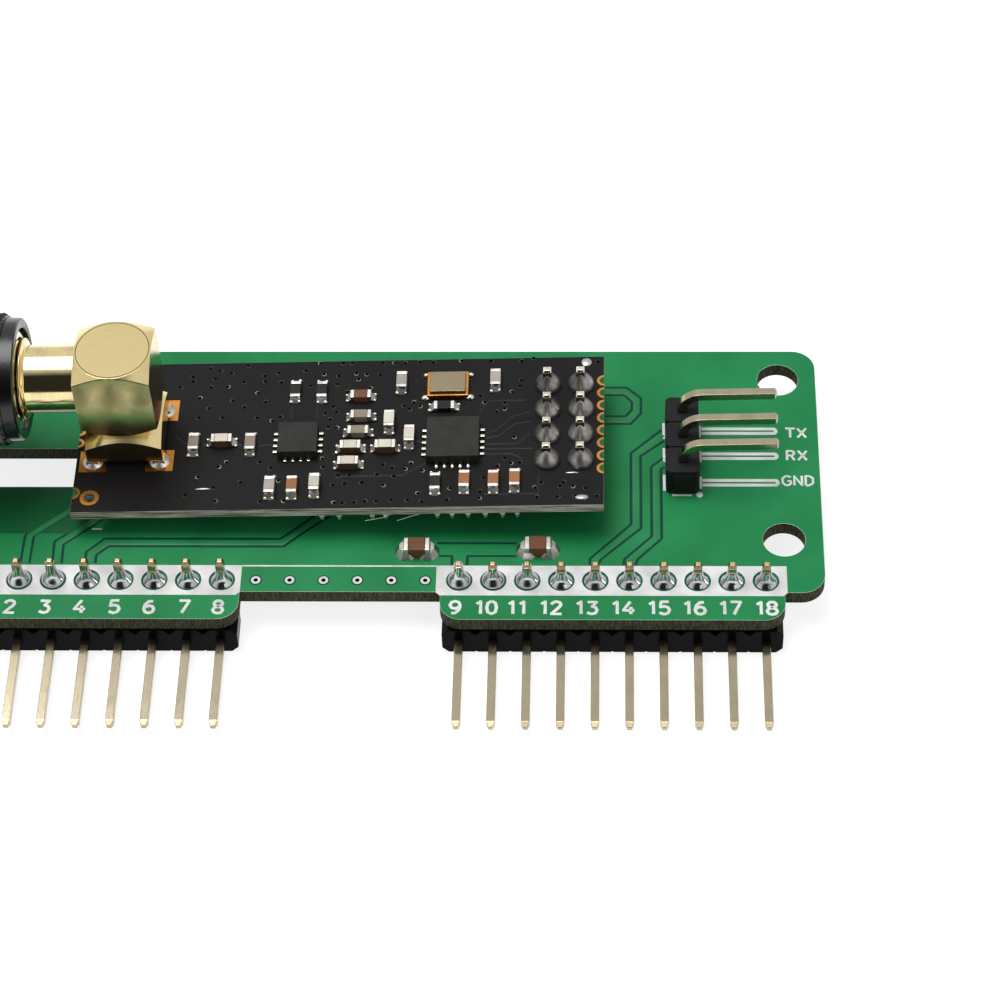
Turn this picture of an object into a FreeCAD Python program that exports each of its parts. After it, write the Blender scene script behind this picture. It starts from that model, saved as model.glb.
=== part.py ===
"""Radio development board: a carrier board with pin headers, a tilted radio module on its own header,
a right-angle coaxial connector and a folding rod antenna.

The frame's origin is the centre of the four mounting holes, on the carrier's underside.
+X runs along the pin row to the right, +Y to the board's back edge, +Z up. Millimetres.
Pieces that the module carries are drawn in the module's own frame: its origin lies on the carrier's
top, under the left foot of the module's header, and it is turned by module_tilt.
"""
import FreeCAD, Part
import Sketcher
import os

from FreeCAD import Placement, Rotation, Vector

DIMENSIONS = [
    ("board_margin", 4.44, "carrier's ends beyond the last pins' centres"),
    ("board_depth", 24.35, "carrier, front edge to back edge, tabs apart"),
    ("board_thickness", 1.2, "carrier"),
    ("board_corner_radius", 1.8, "carrier's outer corners"),
    ("back_margin", 3.05, "rear mounting holes to the back edge"),
    ("front_margin", 5.1, "front mounting holes to the front edge"),
    ("end_margin", 2.95, "mounting holes to the carrier's ends"),
    ("mounting_hole_radius", 1.6, "mounting holes"),
    ("tab_reach", 2.6, "tabs beyond the front edge"),
    ("tab_margin", 1.4, "tab ends beyond the last pins' centres"),
    ("tab_corner_radius", 1.6, "tabs' outer corners"),
    ("slot_width", 3.85, "slot in the left end"),
    ("slot_depth", 13.0, "slot in the left end"),
    ("slot_corner_radius", 0.8, "slot's closed end"),
    ("pin_pitch", 2.54, "all headers"),
    ("pin_width", 0.64, "square pins"),
    ("pin_tip_bevel", 0.15, "pins' tips"),
    ("pin_hole_width", 0.8, "holes for pins, drawn square under their solder"),
    ("pin_row_inset", 1.1, "pin row behind the front edge"),
    ("left_pins", 8, "pins under the left tab"),
    ("open_positions", 6, "row positions without pins between the two groups"),
    ("right_pins", 10, "pins under the right tab"),
    ("header_height", 2.54, "header plastic, away from its board"),
    ("header_width", 2.54, "header plastic, one row"),
    ("header_bevel", 0.5, "grooves between header cells, on the side against the board"),
    ("header_joint", 0.1, "grooves between header cells, on the other side"),
    ("header_proud", 0.15, "front headers' faces beyond the tabs"),
    ("front_pin_reach", 8.0, "front pins beyond the plastic"),
    ("left_pin_tail", 2.35, "left header's tails above the carrier"),
    ("right_pin_tail", 2.05, "right header's tails above the carrier"),
    ("bend_bevel", 0.35, "both corners of the front pins' bends"),
    ("pad_radius", 0.85, "solder foot on a pin's pad"),
    ("solder_neck", 0.5, "solder's narrow end on a pin"),
    ("solder_height", 0.95, "solder on the front pins' tails"),
    ("serial_pins", 3, "pins of the serial header"),
    ("serial_end_margin", 10.53, "serial header's pins to the carrier's right end"),
    ("serial_back_margin", 13.46, "serial header's first pin to the back edge"),
    ("serial_pin_rise", 4.15, "bent pins' axis above the carrier"),
    ("serial_pin_reach", 7.2, "bent pins, from their upright legs to the tips"),
    ("serial_pin_lift", 0.2, "bent pins' tips above their bends"),
    ("serial_bend_radius", 1.2, "inside of the bends"),
    ("serial_groove", 0.25, "grooves between the serial header's cells"),
    ("tail_below", 1.5, "straight pins' tails below the carrier"),
    ("tail_solder_height", 0.8, "solder under the carrier"),
    ("solder_sides", 8, "flat sides of each cone of solder"),
    ("module_tilt", 1.5, "degrees, the module's left end is the lower one"),
    ("module_end_margin", 22.01, "left foot of the module's header to the carrier's right end"),
    ("module_length", 40.2, "module board"),
    ("module_width", 15.0, "module board"),
    ("module_thickness", 0.8, "module board"),
    ("module_centre", -0.08, "module's centre line, from the origin along Y"),
    ("module_header_shift", 0.76, "its header's centre behind the module's centre line"),
    ("module_edge_margin", 1.77, "right pin column to the module's right edge"),
    ("module_pin_rise", 1.9, "pins above the module"),
    ("module_solder_height", 1.5, "solder cones on the module"),
    ("module_pad_radius", 1.0, "solder cones on the module"),
    ("module_header_rows", 4, "pins along Y"),
    ("module_header_columns", 2, "pins along X"),
    ("edge_hole_radius", 0.32, "half holes in the module's right edge"),
    ("edge_hole_pitch", 1.27, "half holes in the module's right edge"),
    ("edge_hole_first", 3.57, "first half hole, from the module's front edge"),
    ("edge_holes", 8, "half holes in the module's right edge"),
    ("corner_hole_radius", 0.42, "two ringed holes at the module's front left corner"),
    ("chip_length", 1.6, "small chip components"),
    ("chip_width", 0.8, "small chip components"),
    ("chip_end", 0.3, "their metal ends"),
    ("capacitor_height", 0.6, "chip capacitors"),
    ("inductor_height", 0.75, "chip inductors"),
    ("resistor_height", 0.45, "chip resistors"),
    ("fillet_reach", 0.4, "solder beyond a chip's end"),
    ("fillet_height", 0.3, "solder on a chip's end"),
    ("radio_side", 4.0, "radio chip, square"),
    ("amplifier_side", 3.0, "amplifier chip, square"),
    ("chip_body_height", 0.85, "radio and amplifier chips"),
    ("lead_width", 0.28, "solder on a chip's lead"),
    ("lead_reach", 0.42, "solder on a chip's lead"),
    ("lead_height", 0.2, "solder on a chip's lead"),
    ("lead_pitch", 0.6, "chips' leads"),
    ("radio_leads", 5, "leads on each side of the radio chip"),
    ("amplifier_leads", 4, "leads on each side of the amplifier chip"),
    ("crystal_length", 3.2, "crystal"),
    ("crystal_width", 2.5, "crystal"),
    ("crystal_base_height", 0.45, "crystal's ceramic base"),
    ("crystal_lid_height", 0.25, "crystal's metal lid"),
    ("crystal_lid_inset", 0.22, "lid inside the base's edge"),
    ("power_length", 2.0, "capacitors on the carrier"),
    ("power_width", 1.25, "capacitors on the carrier"),
    ("power_height", 1.0, "capacitors on the carrier"),
    ("power_end", 0.4, "their metal ends"),
    ("power_solder_radius", 0.95, "solder mound at each end"),
    ("power_solder_neck", 0.55, "solder mound's upper end"),
    ("power_solder_height", 0.7, "solder mound at each end"),
    ("connector_margin", 3.85, "connector's axis to the module's left edge"),
    ("connector_side", 5.8, "square block"),
    ("connector_height", 9.8, "block's top above the module"),
    ("connector_stand", 0.5, "block's underside above the module"),
    ("base_corner_height", 1.8, "base plate's corners above the module"),
    ("cone_drop", 0.8, "turned bevel, lost at each corner"),
    ("neck_radius", 2.45, "turned neck between base and block"),
    ("block_corner_height", 4.15, "lower corners of the block"),
    ("leg_width", 0.9, "connector's legs"),
    ("leg_spacing", 5.08, "connector's legs"),
    ("leg_tail", 0.5, "legs below the module board"),
    ("leg_hole_width", 1.1, "holes for legs, drawn square under their solder"),
    ("leg_solder_radius", 1.15, "solder round a leg"),
    ("leg_solder_neck", 0.72, "solder's narrow end on a leg"),
    ("axis_height", 6.78, "barrel's axis above the module"),
    ("barrel_radius", 2.56, "smooth part of the barrel"),
    ("barrel_smooth_length", 3.9, "smooth part of the barrel"),
    ("thread_radius", 3.1, "threaded part of the barrel"),
    ("thread_length", 7.6, "threaded part of the barrel"),
    ("insulator_radius", 2.05, "white insulator in the barrel"),
    ("contact_radius", 0.63, "centre contact"),
    ("nut_radius", 3.85, "coupling nut"),
    ("nut_clearance", 0.05, "nut on the thread"),
    ("nut_offset", 0.5, "nut's mouth beyond the barrel's shoulder"),
    ("sleeve_mouth_radius", 4.65, "smooth ring at the sleeve's mouth"),
    ("sleeve_radius", 5.05, "knurled sleeve"),
    ("sleeve_mouth_length", 1.0, "smooth ring"),
    ("sleeve_length", 12.3, "knurled sleeve with its ring"),
    ("sleeve_offset", 0.3, "sleeve's mouth beyond the barrel's shoulder"),
    ("ferrule_radius", 2.0, "ferrule that the antenna turns on"),
    ("running_clearance", 0.05, "round the ferrule and the hinge pin"),
    ("part_gap", 0.3, "between pieces that turn past each other"),
    ("antenna_radius", 4.95, "antenna's base and the whip's foot"),
    ("collar_length", 5.6, "antenna's base below its fork"),
    ("fork_gap", 4.2, "slot of the fork"),
    ("tongue_clearance", 0.15, "tongue to each ear of the fork"),
    ("tongue_root", 1.0, "tongue inside the whip's foot"),
    ("hinge_pin_radius", 1.0, "hinge pin"),
    ("hinge_pin_length", 8.8, "hinge pin"),
    ("whip_length", 79.6, "whip beyond the hinge, its cap apart"),
    ("whip_foot_length", 4.0, "whip's wider foot"),
    ("whip_radius", 4.5, "whip beyond its foot"),
    ("cap_length", 1.8, "cap on the whip's end"),
    ("cap_radius", 4.2, "cap on the whip's end"),
]

# Small chips on the module: share of its length from its right edge, distance from its front edge,
# turned along X
CAPACITOR_PLACES = [
    (0.7786, 6.5, False), (0.6704, 6.4, False), (0.6269, 2.05, False), (0.5846, 2.05, False),
    (0.4652, 11.05, True), (0.4627, 9.0, True), (0.4664, 7.4, True), (0.3881, 12.5, False),
    (0.2612, 2.35, False), (0.2065, 2.3, False), (0.1667, 2.4, False), (0.2077, 12.6, False),
]
INDUCTOR_PLACES = [
    (0.7251, 6.65, True), (0.5423, 2.15, False), (0.4789, 5.8, True), (0.4813, 4.2, True),
    (0.408, 8.4, False), (0.4129, 5.8, True), (0.3682, 6.85, False),
]
RESISTOR_PLACES = [
    (0.592, 11.8, False), (0.541, 11.75, False), (0.3047, 9.9, True), (0.3159, 2.25, False),
]
RADIO_PLACE = (0.2848, 6.3)
AMPLIFIER_PLACE = (0.5796, 6.5)
CRYSTAL_PLACE = (0.2985, 12.05)
# Ringed holes in the module: distance from its left edge, distance from its front edge
CORNER_HOLE_PLACES = [(1.35, 1.4), (0.0, 1.9)]
# Capacitors on the carrier: distance right of pin 9, distance from the front edge
POWER_PLACES = [(-3.25, 3.85), (5.85, 4.0)]
# Points closer than this are the same point
SAME_POINT = 1e-5

doc = FreeCAD.newDocument("RadioBoard")
sheet = doc.addObject("Spreadsheet::Sheet", "Sizes")
nodes = []


def fill_sheet():
    """Write each driving dimension into its own aliased cell."""
    for row, (alias, size, meaning) in enumerate(DIMENSIONS, start=1):
        sheet.set(f"A{row}", meaning)
        sheet.set(f"B{row}", str(size))
        sheet.setAlias(f"B{row}", alias)
    doc.recompute()


fill_sheet()


def number(text):
    """The present value of an expression."""
    return float(sheet.evalExpression(text))


def count(alias):
    """A whole number from the sheet."""
    return int(round(number(f"Sizes.{alias}")))


# Places that follow from the driving dimensions, as expressions

UPRIGHT = Vector(0, 0, 1)
HOLE_Y = "((Sizes.board_depth - Sizes.back_margin - Sizes.front_margin) / 2)"
BACK = f"({HOLE_Y} + Sizes.back_margin)"
FRONT = f"({BACK} - Sizes.board_depth)"
TAB_FRONT = f"({FRONT} - Sizes.tab_reach)"
PIN_ROW = f"({FRONT} + Sizes.pin_row_inset)"
HEADER_FACE = f"({TAB_FRONT} - Sizes.header_proud)"
ROW_POSITIONS = "(Sizes.left_pins + Sizes.open_positions + Sizes.right_pins)"
FIRST_PIN = f"(-Sizes.pin_pitch * ({ROW_POSITIONS} - 1) / 2)"
FIRST_OPEN = f"({FIRST_PIN} + Sizes.pin_pitch * Sizes.left_pins)"
FIRST_RIGHT_PIN = f"({FIRST_OPEN} + Sizes.pin_pitch * Sizes.open_positions)"
BOARD_END = f"(Sizes.board_margin - {FIRST_PIN})"
HOLE_X = f"({BOARD_END} - Sizes.end_margin)"
SERIAL_X = f"({BOARD_END} - Sizes.serial_end_margin)"
SERIAL_Y = f"({BACK} - Sizes.serial_back_margin)"
HALF_PIN = "(Sizes.pin_width / 2)"
TOP = "Sizes.board_thickness"

MODULE_X = f"({BOARD_END} - Sizes.module_end_margin)"
MODULE_UNDERSIDE = "Sizes.header_height"
MODULE_TOP = "(Sizes.header_height + Sizes.module_thickness)"
HEADER_SPAN_X = "(Sizes.pin_pitch * (Sizes.module_header_columns - 1))"
HEADER_SPAN_Y = "(Sizes.pin_pitch * (Sizes.module_header_rows - 1))"
MODULE_PIN_X = "(Sizes.pin_pitch / 2)"
MODULE_PIN_Y = f"(Sizes.module_centre + Sizes.module_header_shift - {HEADER_SPAN_Y} / 2)"
MODULE_RIGHT = f"({MODULE_PIN_X} + {HEADER_SPAN_X} + Sizes.module_edge_margin)"
MODULE_LEFT = f"({MODULE_RIGHT} - Sizes.module_length)"
MODULE_FRONT = "(Sizes.module_centre - Sizes.module_width / 2)"
MODULE_BACK = "(Sizes.module_centre + Sizes.module_width / 2)"
CONNECTOR_X = f"({MODULE_LEFT} + Sizes.connector_margin)"
AXIS_Z = f"({MODULE_TOP} + Sizes.axis_height)"
TILT_COS = "cos(Sizes.module_tilt * 1 deg)"
TILT_SIN = "sin(Sizes.module_tilt * 1 deg)"

# Stations along the connector's axis, from the block's face outwards
BLOCK_HALF = "(Sizes.connector_side / 2)"
SHOULDER = "Sizes.barrel_smooth_length"
BARREL_END = f"({SHOULDER} + Sizes.thread_length)"
SLEEVE_START = f"({SHOULDER} + Sizes.sleeve_offset)"
SLEEVE_END = f"({SLEEVE_START} + Sizes.sleeve_length)"
NUT_START = f"({SHOULDER} + Sizes.nut_offset)"
BASE_START = f"({SLEEVE_END} + Sizes.part_gap)"
FORK_START = f"({BASE_START} + Sizes.collar_length)"
HINGE = f"({FORK_START} + Sizes.antenna_radius)"
HALF_TONGUE = "(Sizes.fork_gap / 2 - Sizes.tongue_clearance)"
TONGUE_RADIUS = f"sqrt(Sizes.antenna_radius ^ 2 - {HALF_TONGUE} ^ 2)"
WHIP_START = f"({HINGE} + Sizes.antenna_radius + Sizes.part_gap)"
WHIP_END = f"({HINGE} + Sizes.whip_length)"


def bind(thing, sizes):
    """Bind properties to expressions. The keys x, y and z stand for the placement's base."""
    for key, text in sizes.items():
        path = f"Placement.Base.{key}" if key in ("x", "y", "z") else key
        thing.setExpression(path, text)
    return thing


def box(name, size, corner):
    length, width, height = size
    thing = doc.addObject("Part::Box", name)
    bind(thing, {"Length": length, "Width": width, "Height": height})
    return bind(thing, dict(zip("xyz", corner)))


def grouped(name, pieces):
    """Separate solids that share one node."""
    thing = doc.addObject("Part::Compound", name)
    thing.Links = pieces
    return thing


def fused(name, pieces):
    thing = doc.addObject("Part::MultiFuse", name)
    thing.Shapes = pieces
    return thing


def combined(kind, name, base, tool):
    """A Part::Cut or Part::Common of two things."""
    thing = doc.addObject(f"Part::{kind}", name)
    thing.Base = base
    thing.Tool = tool
    return thing


def body_for(name):
    return doc.addObject("PartDesign::Body", name)


def origin_feature(body, role):
    return next(feature for feature in body.Origin.OriginFeatures if feature.Role == role)


def new_sketch(body, name, plane):
    sketch = body.newObject("Sketcher::SketchObject", name)
    sketch.AttachmentSupport = (origin_feature(body, plane), [""])
    sketch.MapMode = "FlatFace"
    return sketch


def fix_point(sketch, geometry, end, place, texts):
    """Tie a sketch point to the sketch's origin by two bound distances."""
    for kind, distance, text in zip(("DistanceX", "DistanceY"), place, texts):
        index = sketch.addConstraint(Sketcher.Constraint(kind, -1, 1, geometry, end, distance))
        sketch.setExpression(f"Constraints[{index}]", text)


def outline(sketch, points):
    """A closed outline through points that are given as pairs of expressions."""
    places = [(number(across), number(up)) for across, up in points]
    first = sketch.GeometryCount
    total = len(points)
    for start, end in zip(places, places[1:] + places[:1]):
        sketch.addGeometry(Part.LineSegment(Vector(*start, 0), Vector(*end, 0)), False)
    for step in range(total):
        follower = first + (step + 1) % total
        sketch.addConstraint(Sketcher.Constraint("Coincident", first + step, 2, follower, 1))
    for step, (place, texts) in enumerate(zip(places, points)):
        fix_point(sketch, first + step, 1, place, texts)


def rectangle(sketch, left, right, low, high):
    outline(sketch, [(left, low), (right, low), (right, high), (left, high)])


def square(sketch, centre, width):
    across, up = centre
    rectangle(sketch, f"({across} - {width} / 2)", f"({across} + {width} / 2)",
              f"({up} - {width} / 2)", f"({up} + {width} / 2)")


def circle(sketch, centre, radius):
    place = (number(centre[0]), number(centre[1]))
    index = sketch.addGeometry(Part.Circle(Vector(*place, 0), Vector(0, 0, 1), number(radius)), False)
    fix_point(sketch, index, 3, place, centre)
    size = sketch.addConstraint(Sketcher.Constraint("Radius", index, number(radius)))
    sketch.setExpression(f"Constraints[{size}]", radius)


def pad(body, sketch, length, symmetric=False, backwards=False):
    feature = body.newObject("PartDesign::Pad", f"{sketch.Name}Pad")
    feature.Profile = sketch
    feature.SideType = "Symmetric" if symmetric else "One side"
    feature.Reversed = backwards
    feature.setExpression("Length", length)
    doc.recompute()
    return feature


def pocket(body, sketch, length=None, backwards=True):
    """A pocket, right through the body when no length is given. It must remove material."""
    before = body.Shape.Volume
    feature = body.newObject("PartDesign::Pocket", f"{sketch.Name}Pocket")
    feature.Profile = sketch
    feature.Reversed = backwards
    if length:
        feature.setExpression("Length", length)
    else:
        feature.Type = "ThroughAll"
    doc.recompute()
    if body.Shape.Volume >= before:
        raise RuntimeError(f"{feature.Name} removes nothing")
    return feature


def revolve(body, sketch, axis_role):
    feature = body.newObject("PartDesign::Revolution", f"{sketch.Name}Turn")
    feature.Profile = sketch
    feature.ReferenceAxis = (origin_feature(body, axis_role), [""])
    feature.Angle = 360
    doc.recompute()
    return feature


def runs_along(edge, direction):
    """Whether an edge's two ends lie apart in one given direction only."""
    ends = [vertex.Point for vertex in edge.Vertexes]
    return len(ends) == 2 and (ends[1] - ends[0]).cross(direction).Length < SAME_POINT


def edges_where(shape, test, direction=None):
    """Names of the edges whose every vertex passes a test, all or only those along a direction."""
    return [f"Edge{index}" for index, edge in enumerate(shape.Edges, start=1)
            if all(test(vertex.Point) for vertex in edge.Vertexes)
            and (direction is None or runs_along(edge, direction))]


def near(value, text):
    return abs(value - number(text)) < SAME_POINT


def dress(body, kind, name, size, test, direction=None):
    """A PartDesign Fillet or Chamfer on the edges that pass a test."""
    base = body.Tip
    names = edges_where(base.Shape, test, direction)
    if not names:
        raise RuntimeError(f"{name} finds no edge")
    feature = body.newObject(f"PartDesign::{kind}", name)
    feature.Base = (base, names)
    feature.setExpression("Radius" if kind == "Fillet" else "Size", size)
    doc.recompute()
    return feature


def repeat(body, name, originals, role, length, total, across=None):
    """A linear pattern of some features, or of the whole body when originals is empty."""
    feature = body.newObject("PartDesign::LinearPattern", name)
    if originals:
        feature.Originals = originals
    else:
        feature.TransformMode = "Whole shape"
    feature.Direction = (origin_feature(body, role), [""])
    feature.setExpression("Length", length)
    feature.setExpression("Occurrences", total)
    if across:
        role_across, length_across, total_across = across
        feature.Direction2 = (origin_feature(body, role_across), [""])
        feature.setExpression("Length2", length_across)
        feature.setExpression("Occurrences2", total_across)
    body.Tip = feature
    doc.recompute()
    return feature


def seat_on_module(thing, place=("0", "0", "0")):
    """Place a thing at a point of the module's frame, turned with the module."""
    along, across, up = place
    thing.Placement = Placement(Vector(), Rotation(Vector(0, -1, 0), number("Sizes.module_tilt")))
    thing.setExpression("Placement.Rotation.Angle", "Sizes.module_tilt")
    return bind(thing, {
        "x": f"{MODULE_X} + ({along}) * {TILT_COS} - ({up}) * {TILT_SIN}",
        "y": across,
        "z": f"{TOP} + ({along}) * {TILT_SIN} + ({up}) * {TILT_COS}",
    })


def keep(thing, node):
    """Name a finished sub-part. Its label is the name of its file."""
    thing.Label = node
    nodes.append(thing)
    return thing


def solder_cone(name, wide, narrow, height, opening=None, downwards=False):
    """Solder with flat sides, wide end at the body's origin, with a square opening for its pin."""
    body = body_for(name)
    plan = new_sketch(body, f"{name}Plan", "XY_Plane")
    sides = count("solder_sides")
    turn = 360 / sides
    corners = [f"({turn} deg * {side + 0.5})" for side in range(sides)]
    outline(plan, [(f"{wide} * cos{corner}", f"{wide} * sin{corner}") for corner in corners])
    foot = pad(body, plan, height, backwards=downwards)
    whole = foot.Shape.Volume
    levels = {f"Face{index}": face.CenterOfGravity.z
              for index, face in enumerate(foot.Shape.Faces, start=1)}
    ends = [face for face in levels if near(abs(levels[face]), height) or near(levels[face], "0")]
    taper = body.newObject("PartDesign::Draft", f"{name}Taper")
    taper.Base = (foot, [face for face in levels if face not in ends])
    taper.NeutralPlane = (foot, [next(face for face in ends if near(levels[face], "0"))])
    taper.Reversed = downwards
    taper.setExpression("Angle", f"atan(({wide} - {narrow}) * cos({turn / 2} deg) / {height})")
    doc.recompute()
    if taper.Shape.Volume >= whole:
        raise RuntimeError(f"{name} widens away from its foot")
    if opening:
        pin = new_sketch(body, f"{name}Opening", "XY_Plane")
        square(pin, ("0", "0"), opening)
        pocket(body, pin, backwards=not downwards)
    return body


def make_carrier_board():
    """The carrier: two tabs in front, a slot in its left end, and every drilled hole."""
    body = body_for("CarrierBoard")
    left_tab = (f"({FIRST_PIN} - Sizes.tab_margin)",
                f"({FIRST_OPEN} - Sizes.pin_pitch + Sizes.tab_margin)")
    right_tab = (f"({FIRST_RIGHT_PIN} - Sizes.tab_margin)", f"(-{FIRST_PIN} + Sizes.tab_margin)")
    slot_low = f"(({BACK} + {FRONT} - Sizes.slot_width) / 2)"
    slot_high = f"(({BACK} + {FRONT} + Sizes.slot_width) / 2)"
    slot_end = f"(Sizes.slot_depth - {BOARD_END})"
    plan = new_sketch(body, "CarrierPlan", "XY_Plane")
    outline(plan, [
        (f"-{BOARD_END}", FRONT),
        (left_tab[0], FRONT), (left_tab[0], TAB_FRONT), (left_tab[1], TAB_FRONT), (left_tab[1], FRONT),
        (right_tab[0], FRONT), (right_tab[0], TAB_FRONT), (right_tab[1], TAB_FRONT), (right_tab[1], FRONT),
        (BOARD_END, FRONT), (BOARD_END, BACK), (f"-{BOARD_END}", BACK),
        (f"-{BOARD_END}", slot_high), (slot_end, slot_high), (slot_end, slot_low),
        (f"-{BOARD_END}", slot_low),
    ])
    pad(body, plan, TOP)
    dress(body, "Fillet", "OuterCorners", "Sizes.board_corner_radius",
          lambda p: near(abs(p.x), BOARD_END) and (near(p.y, FRONT) or near(p.y, BACK)), UPRIGHT)
    dress(body, "Fillet", "TabCorners", "Sizes.tab_corner_radius",
          lambda p: near(p.y, TAB_FRONT)
          and any(near(p.x, side) for side in left_tab + right_tab), UPRIGHT)
    dress(body, "Fillet", "SlotCorners", "Sizes.slot_corner_radius", lambda p: near(p.x, slot_end),
          UPRIGHT)
    drill_carrier(body)
    keep(body, "carrier_board")


def drill_carrier(body):
    """Mounting holes, then the holes for every pin."""
    mounting = new_sketch(body, "MountingHoles", "XY_Plane")
    for side in ("-", ""):
        for end in ("-", ""):
            circle(mounting, (f"{side}{HOLE_X}", f"{end}{HOLE_Y}"), "Sizes.mounting_hole_radius")
    pocket(body, mounting)
    rows = [
        ("LeftPinHoles", FIRST_PIN, "Sizes.left_pins"),
        ("RightPinHoles", FIRST_RIGHT_PIN, "Sizes.right_pins"),
    ]
    for name, first, total in rows:
        hole = new_sketch(body, name, "XY_Plane")
        square(hole, (first, PIN_ROW), "Sizes.pin_hole_width")
        cut = pocket(body, hole)
        repeat(body, f"{name}Row", [cut], "X_Axis", f"Sizes.pin_pitch * ({total} - 1)", total)
    serial = new_sketch(body, "SerialPinHoles", "XY_Plane")
    square(serial, (SERIAL_X, SERIAL_Y), "Sizes.pin_hole_width")
    cut = pocket(body, serial)
    repeat(body, "SerialPinHolesRow", [cut], "Y_Axis",
           "Sizes.pin_pitch * (Sizes.serial_pins - 1)", "Sizes.serial_pins")
    module = new_sketch(body, "ModulePinHoles", "XY_Plane")
    # The tilted pins cross the board's mid-thickness a little to the right of their feet
    lean = f"({TOP} / 2 * {TILT_SIN})"
    square(module, (f"{MODULE_X} + {MODULE_PIN_X} + {lean}", MODULE_PIN_Y), "Sizes.pin_hole_width")
    cut = pocket(body, module)
    repeat(body, "ModulePinHolesGrid", [cut], "X_Axis", HEADER_SPAN_X, "Sizes.module_header_columns",
           ("Y_Axis", HEADER_SPAN_Y, "Sizes.module_header_rows"))


def cell_profile(cells, bevel, joint, low, high):
    """A header's outline as pairs of expressions: cells with a bevel's groove above, a joint's below."""
    upper = []
    lower = []
    for cell in range(cells):
        left = f"(Sizes.pin_pitch * {cell - 0.5})"
        right = f"(Sizes.pin_pitch * {cell + 0.5})"
        first = bevel if cell == 0 else joint
        last = bevel if cell == cells - 1 else joint
        if cell == 0:
            lower.append((left, f"({low} + {bevel})"))
            upper.append((left, f"({high} - {bevel})"))
        lower += [(f"({left} + {first})", low), (f"({right} - {last})", low), (right, f"({low} + {last})")]
        upper += [(f"({left} + {bevel})", high), (f"({right} - {bevel})", high),
                  (right, f"({high} - {bevel})")]
    return lower + upper[::-1]


def make_front_header(side, first, total):
    """A right-angle header under a tab: grooved plastic, bent pins and their solder."""
    cells = count(total)
    span = f"Sizes.pin_pitch * (Sizes.{total} - 1)"
    height = "Sizes.header_height"
    middle = f"(-{height} / 2)"

    plastic = body_for(f"{side}HeaderBody")
    face = new_sketch(plastic, f"{side}HeaderFace", "XZ_Plane")
    outline(face, cell_profile(cells, "Sizes.header_bevel", "Sizes.header_joint", f"(-{height})", "0"))
    pad(plastic, face, "Sizes.header_width", backwards=True)
    bore = new_sketch(plastic, f"{side}HeaderBore", "XZ_Plane")
    rectangle(bore, f"-{HALF_PIN}", HALF_PIN, f"({middle} - {HALF_PIN})", f"({middle} + {HALF_PIN})")
    cut = pocket(plastic, bore, backwards=False)
    repeat(plastic, f"{side}HeaderBores", [cut], "X_Axis", span, f"Sizes.{total}")
    bind(plastic, {"x": first, "y": HEADER_FACE})
    keep(plastic, f"{side.lower()}_header_body")

    pins = body_for(f"{side}HeaderPins")
    tail = f"({TOP} + Sizes.{side.lower()}_pin_tail)"
    tip = f"({HEADER_FACE} - Sizes.front_pin_reach - {PIN_ROW})"
    profile = new_sketch(pins, f"{side}PinProfile", "YZ_Plane")
    outline(profile, [
        (HALF_PIN, tail), (f"-{HALF_PIN}", tail), (f"-{HALF_PIN}", f"({middle} + {HALF_PIN})"),
        (tip, f"({middle} + {HALF_PIN})"), (tip, f"({middle} - {HALF_PIN})"),
        (HALF_PIN, f"({middle} - {HALF_PIN})"),
    ])
    pad(pins, profile, "Sizes.pin_width", symmetric=True)
    dress(pins, "Chamfer", f"{side}BendOutside", "Sizes.bend_bevel",
          lambda p: near(p.y, HALF_PIN) and near(p.z, f"{middle} - {HALF_PIN}"))
    dress(pins, "Chamfer", f"{side}BendInside", "Sizes.bend_bevel",
          lambda p: near(p.y, f"-{HALF_PIN}") and near(p.z, f"{middle} + {HALF_PIN}"))
    dress(pins, "Chamfer", f"{side}PinTips", "Sizes.pin_tip_bevel", lambda p: near(p.y, tip))
    dress(pins, "Chamfer", f"{side}PinTails", "Sizes.pin_tip_bevel", lambda p: near(p.z, tail))
    repeat(pins, f"{side}PinRow", [], "X_Axis", span, f"Sizes.{total}")
    bind(pins, {"x": first, "y": PIN_ROW})
    keep(pins, f"{side.lower()}_header_pins")

    solder = solder_cone(f"{side}HeaderSolder", "Sizes.pad_radius", "Sizes.solder_neck",
                         "Sizes.solder_height", "Sizes.pin_width")
    repeat(solder, f"{side}SolderRow", [], "X_Axis", span, f"Sizes.{total}")
    bind(solder, {"x": first, "y": PIN_ROW, "z": TOP})
    keep(solder, f"{side.lower()}_header_solder")


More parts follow.
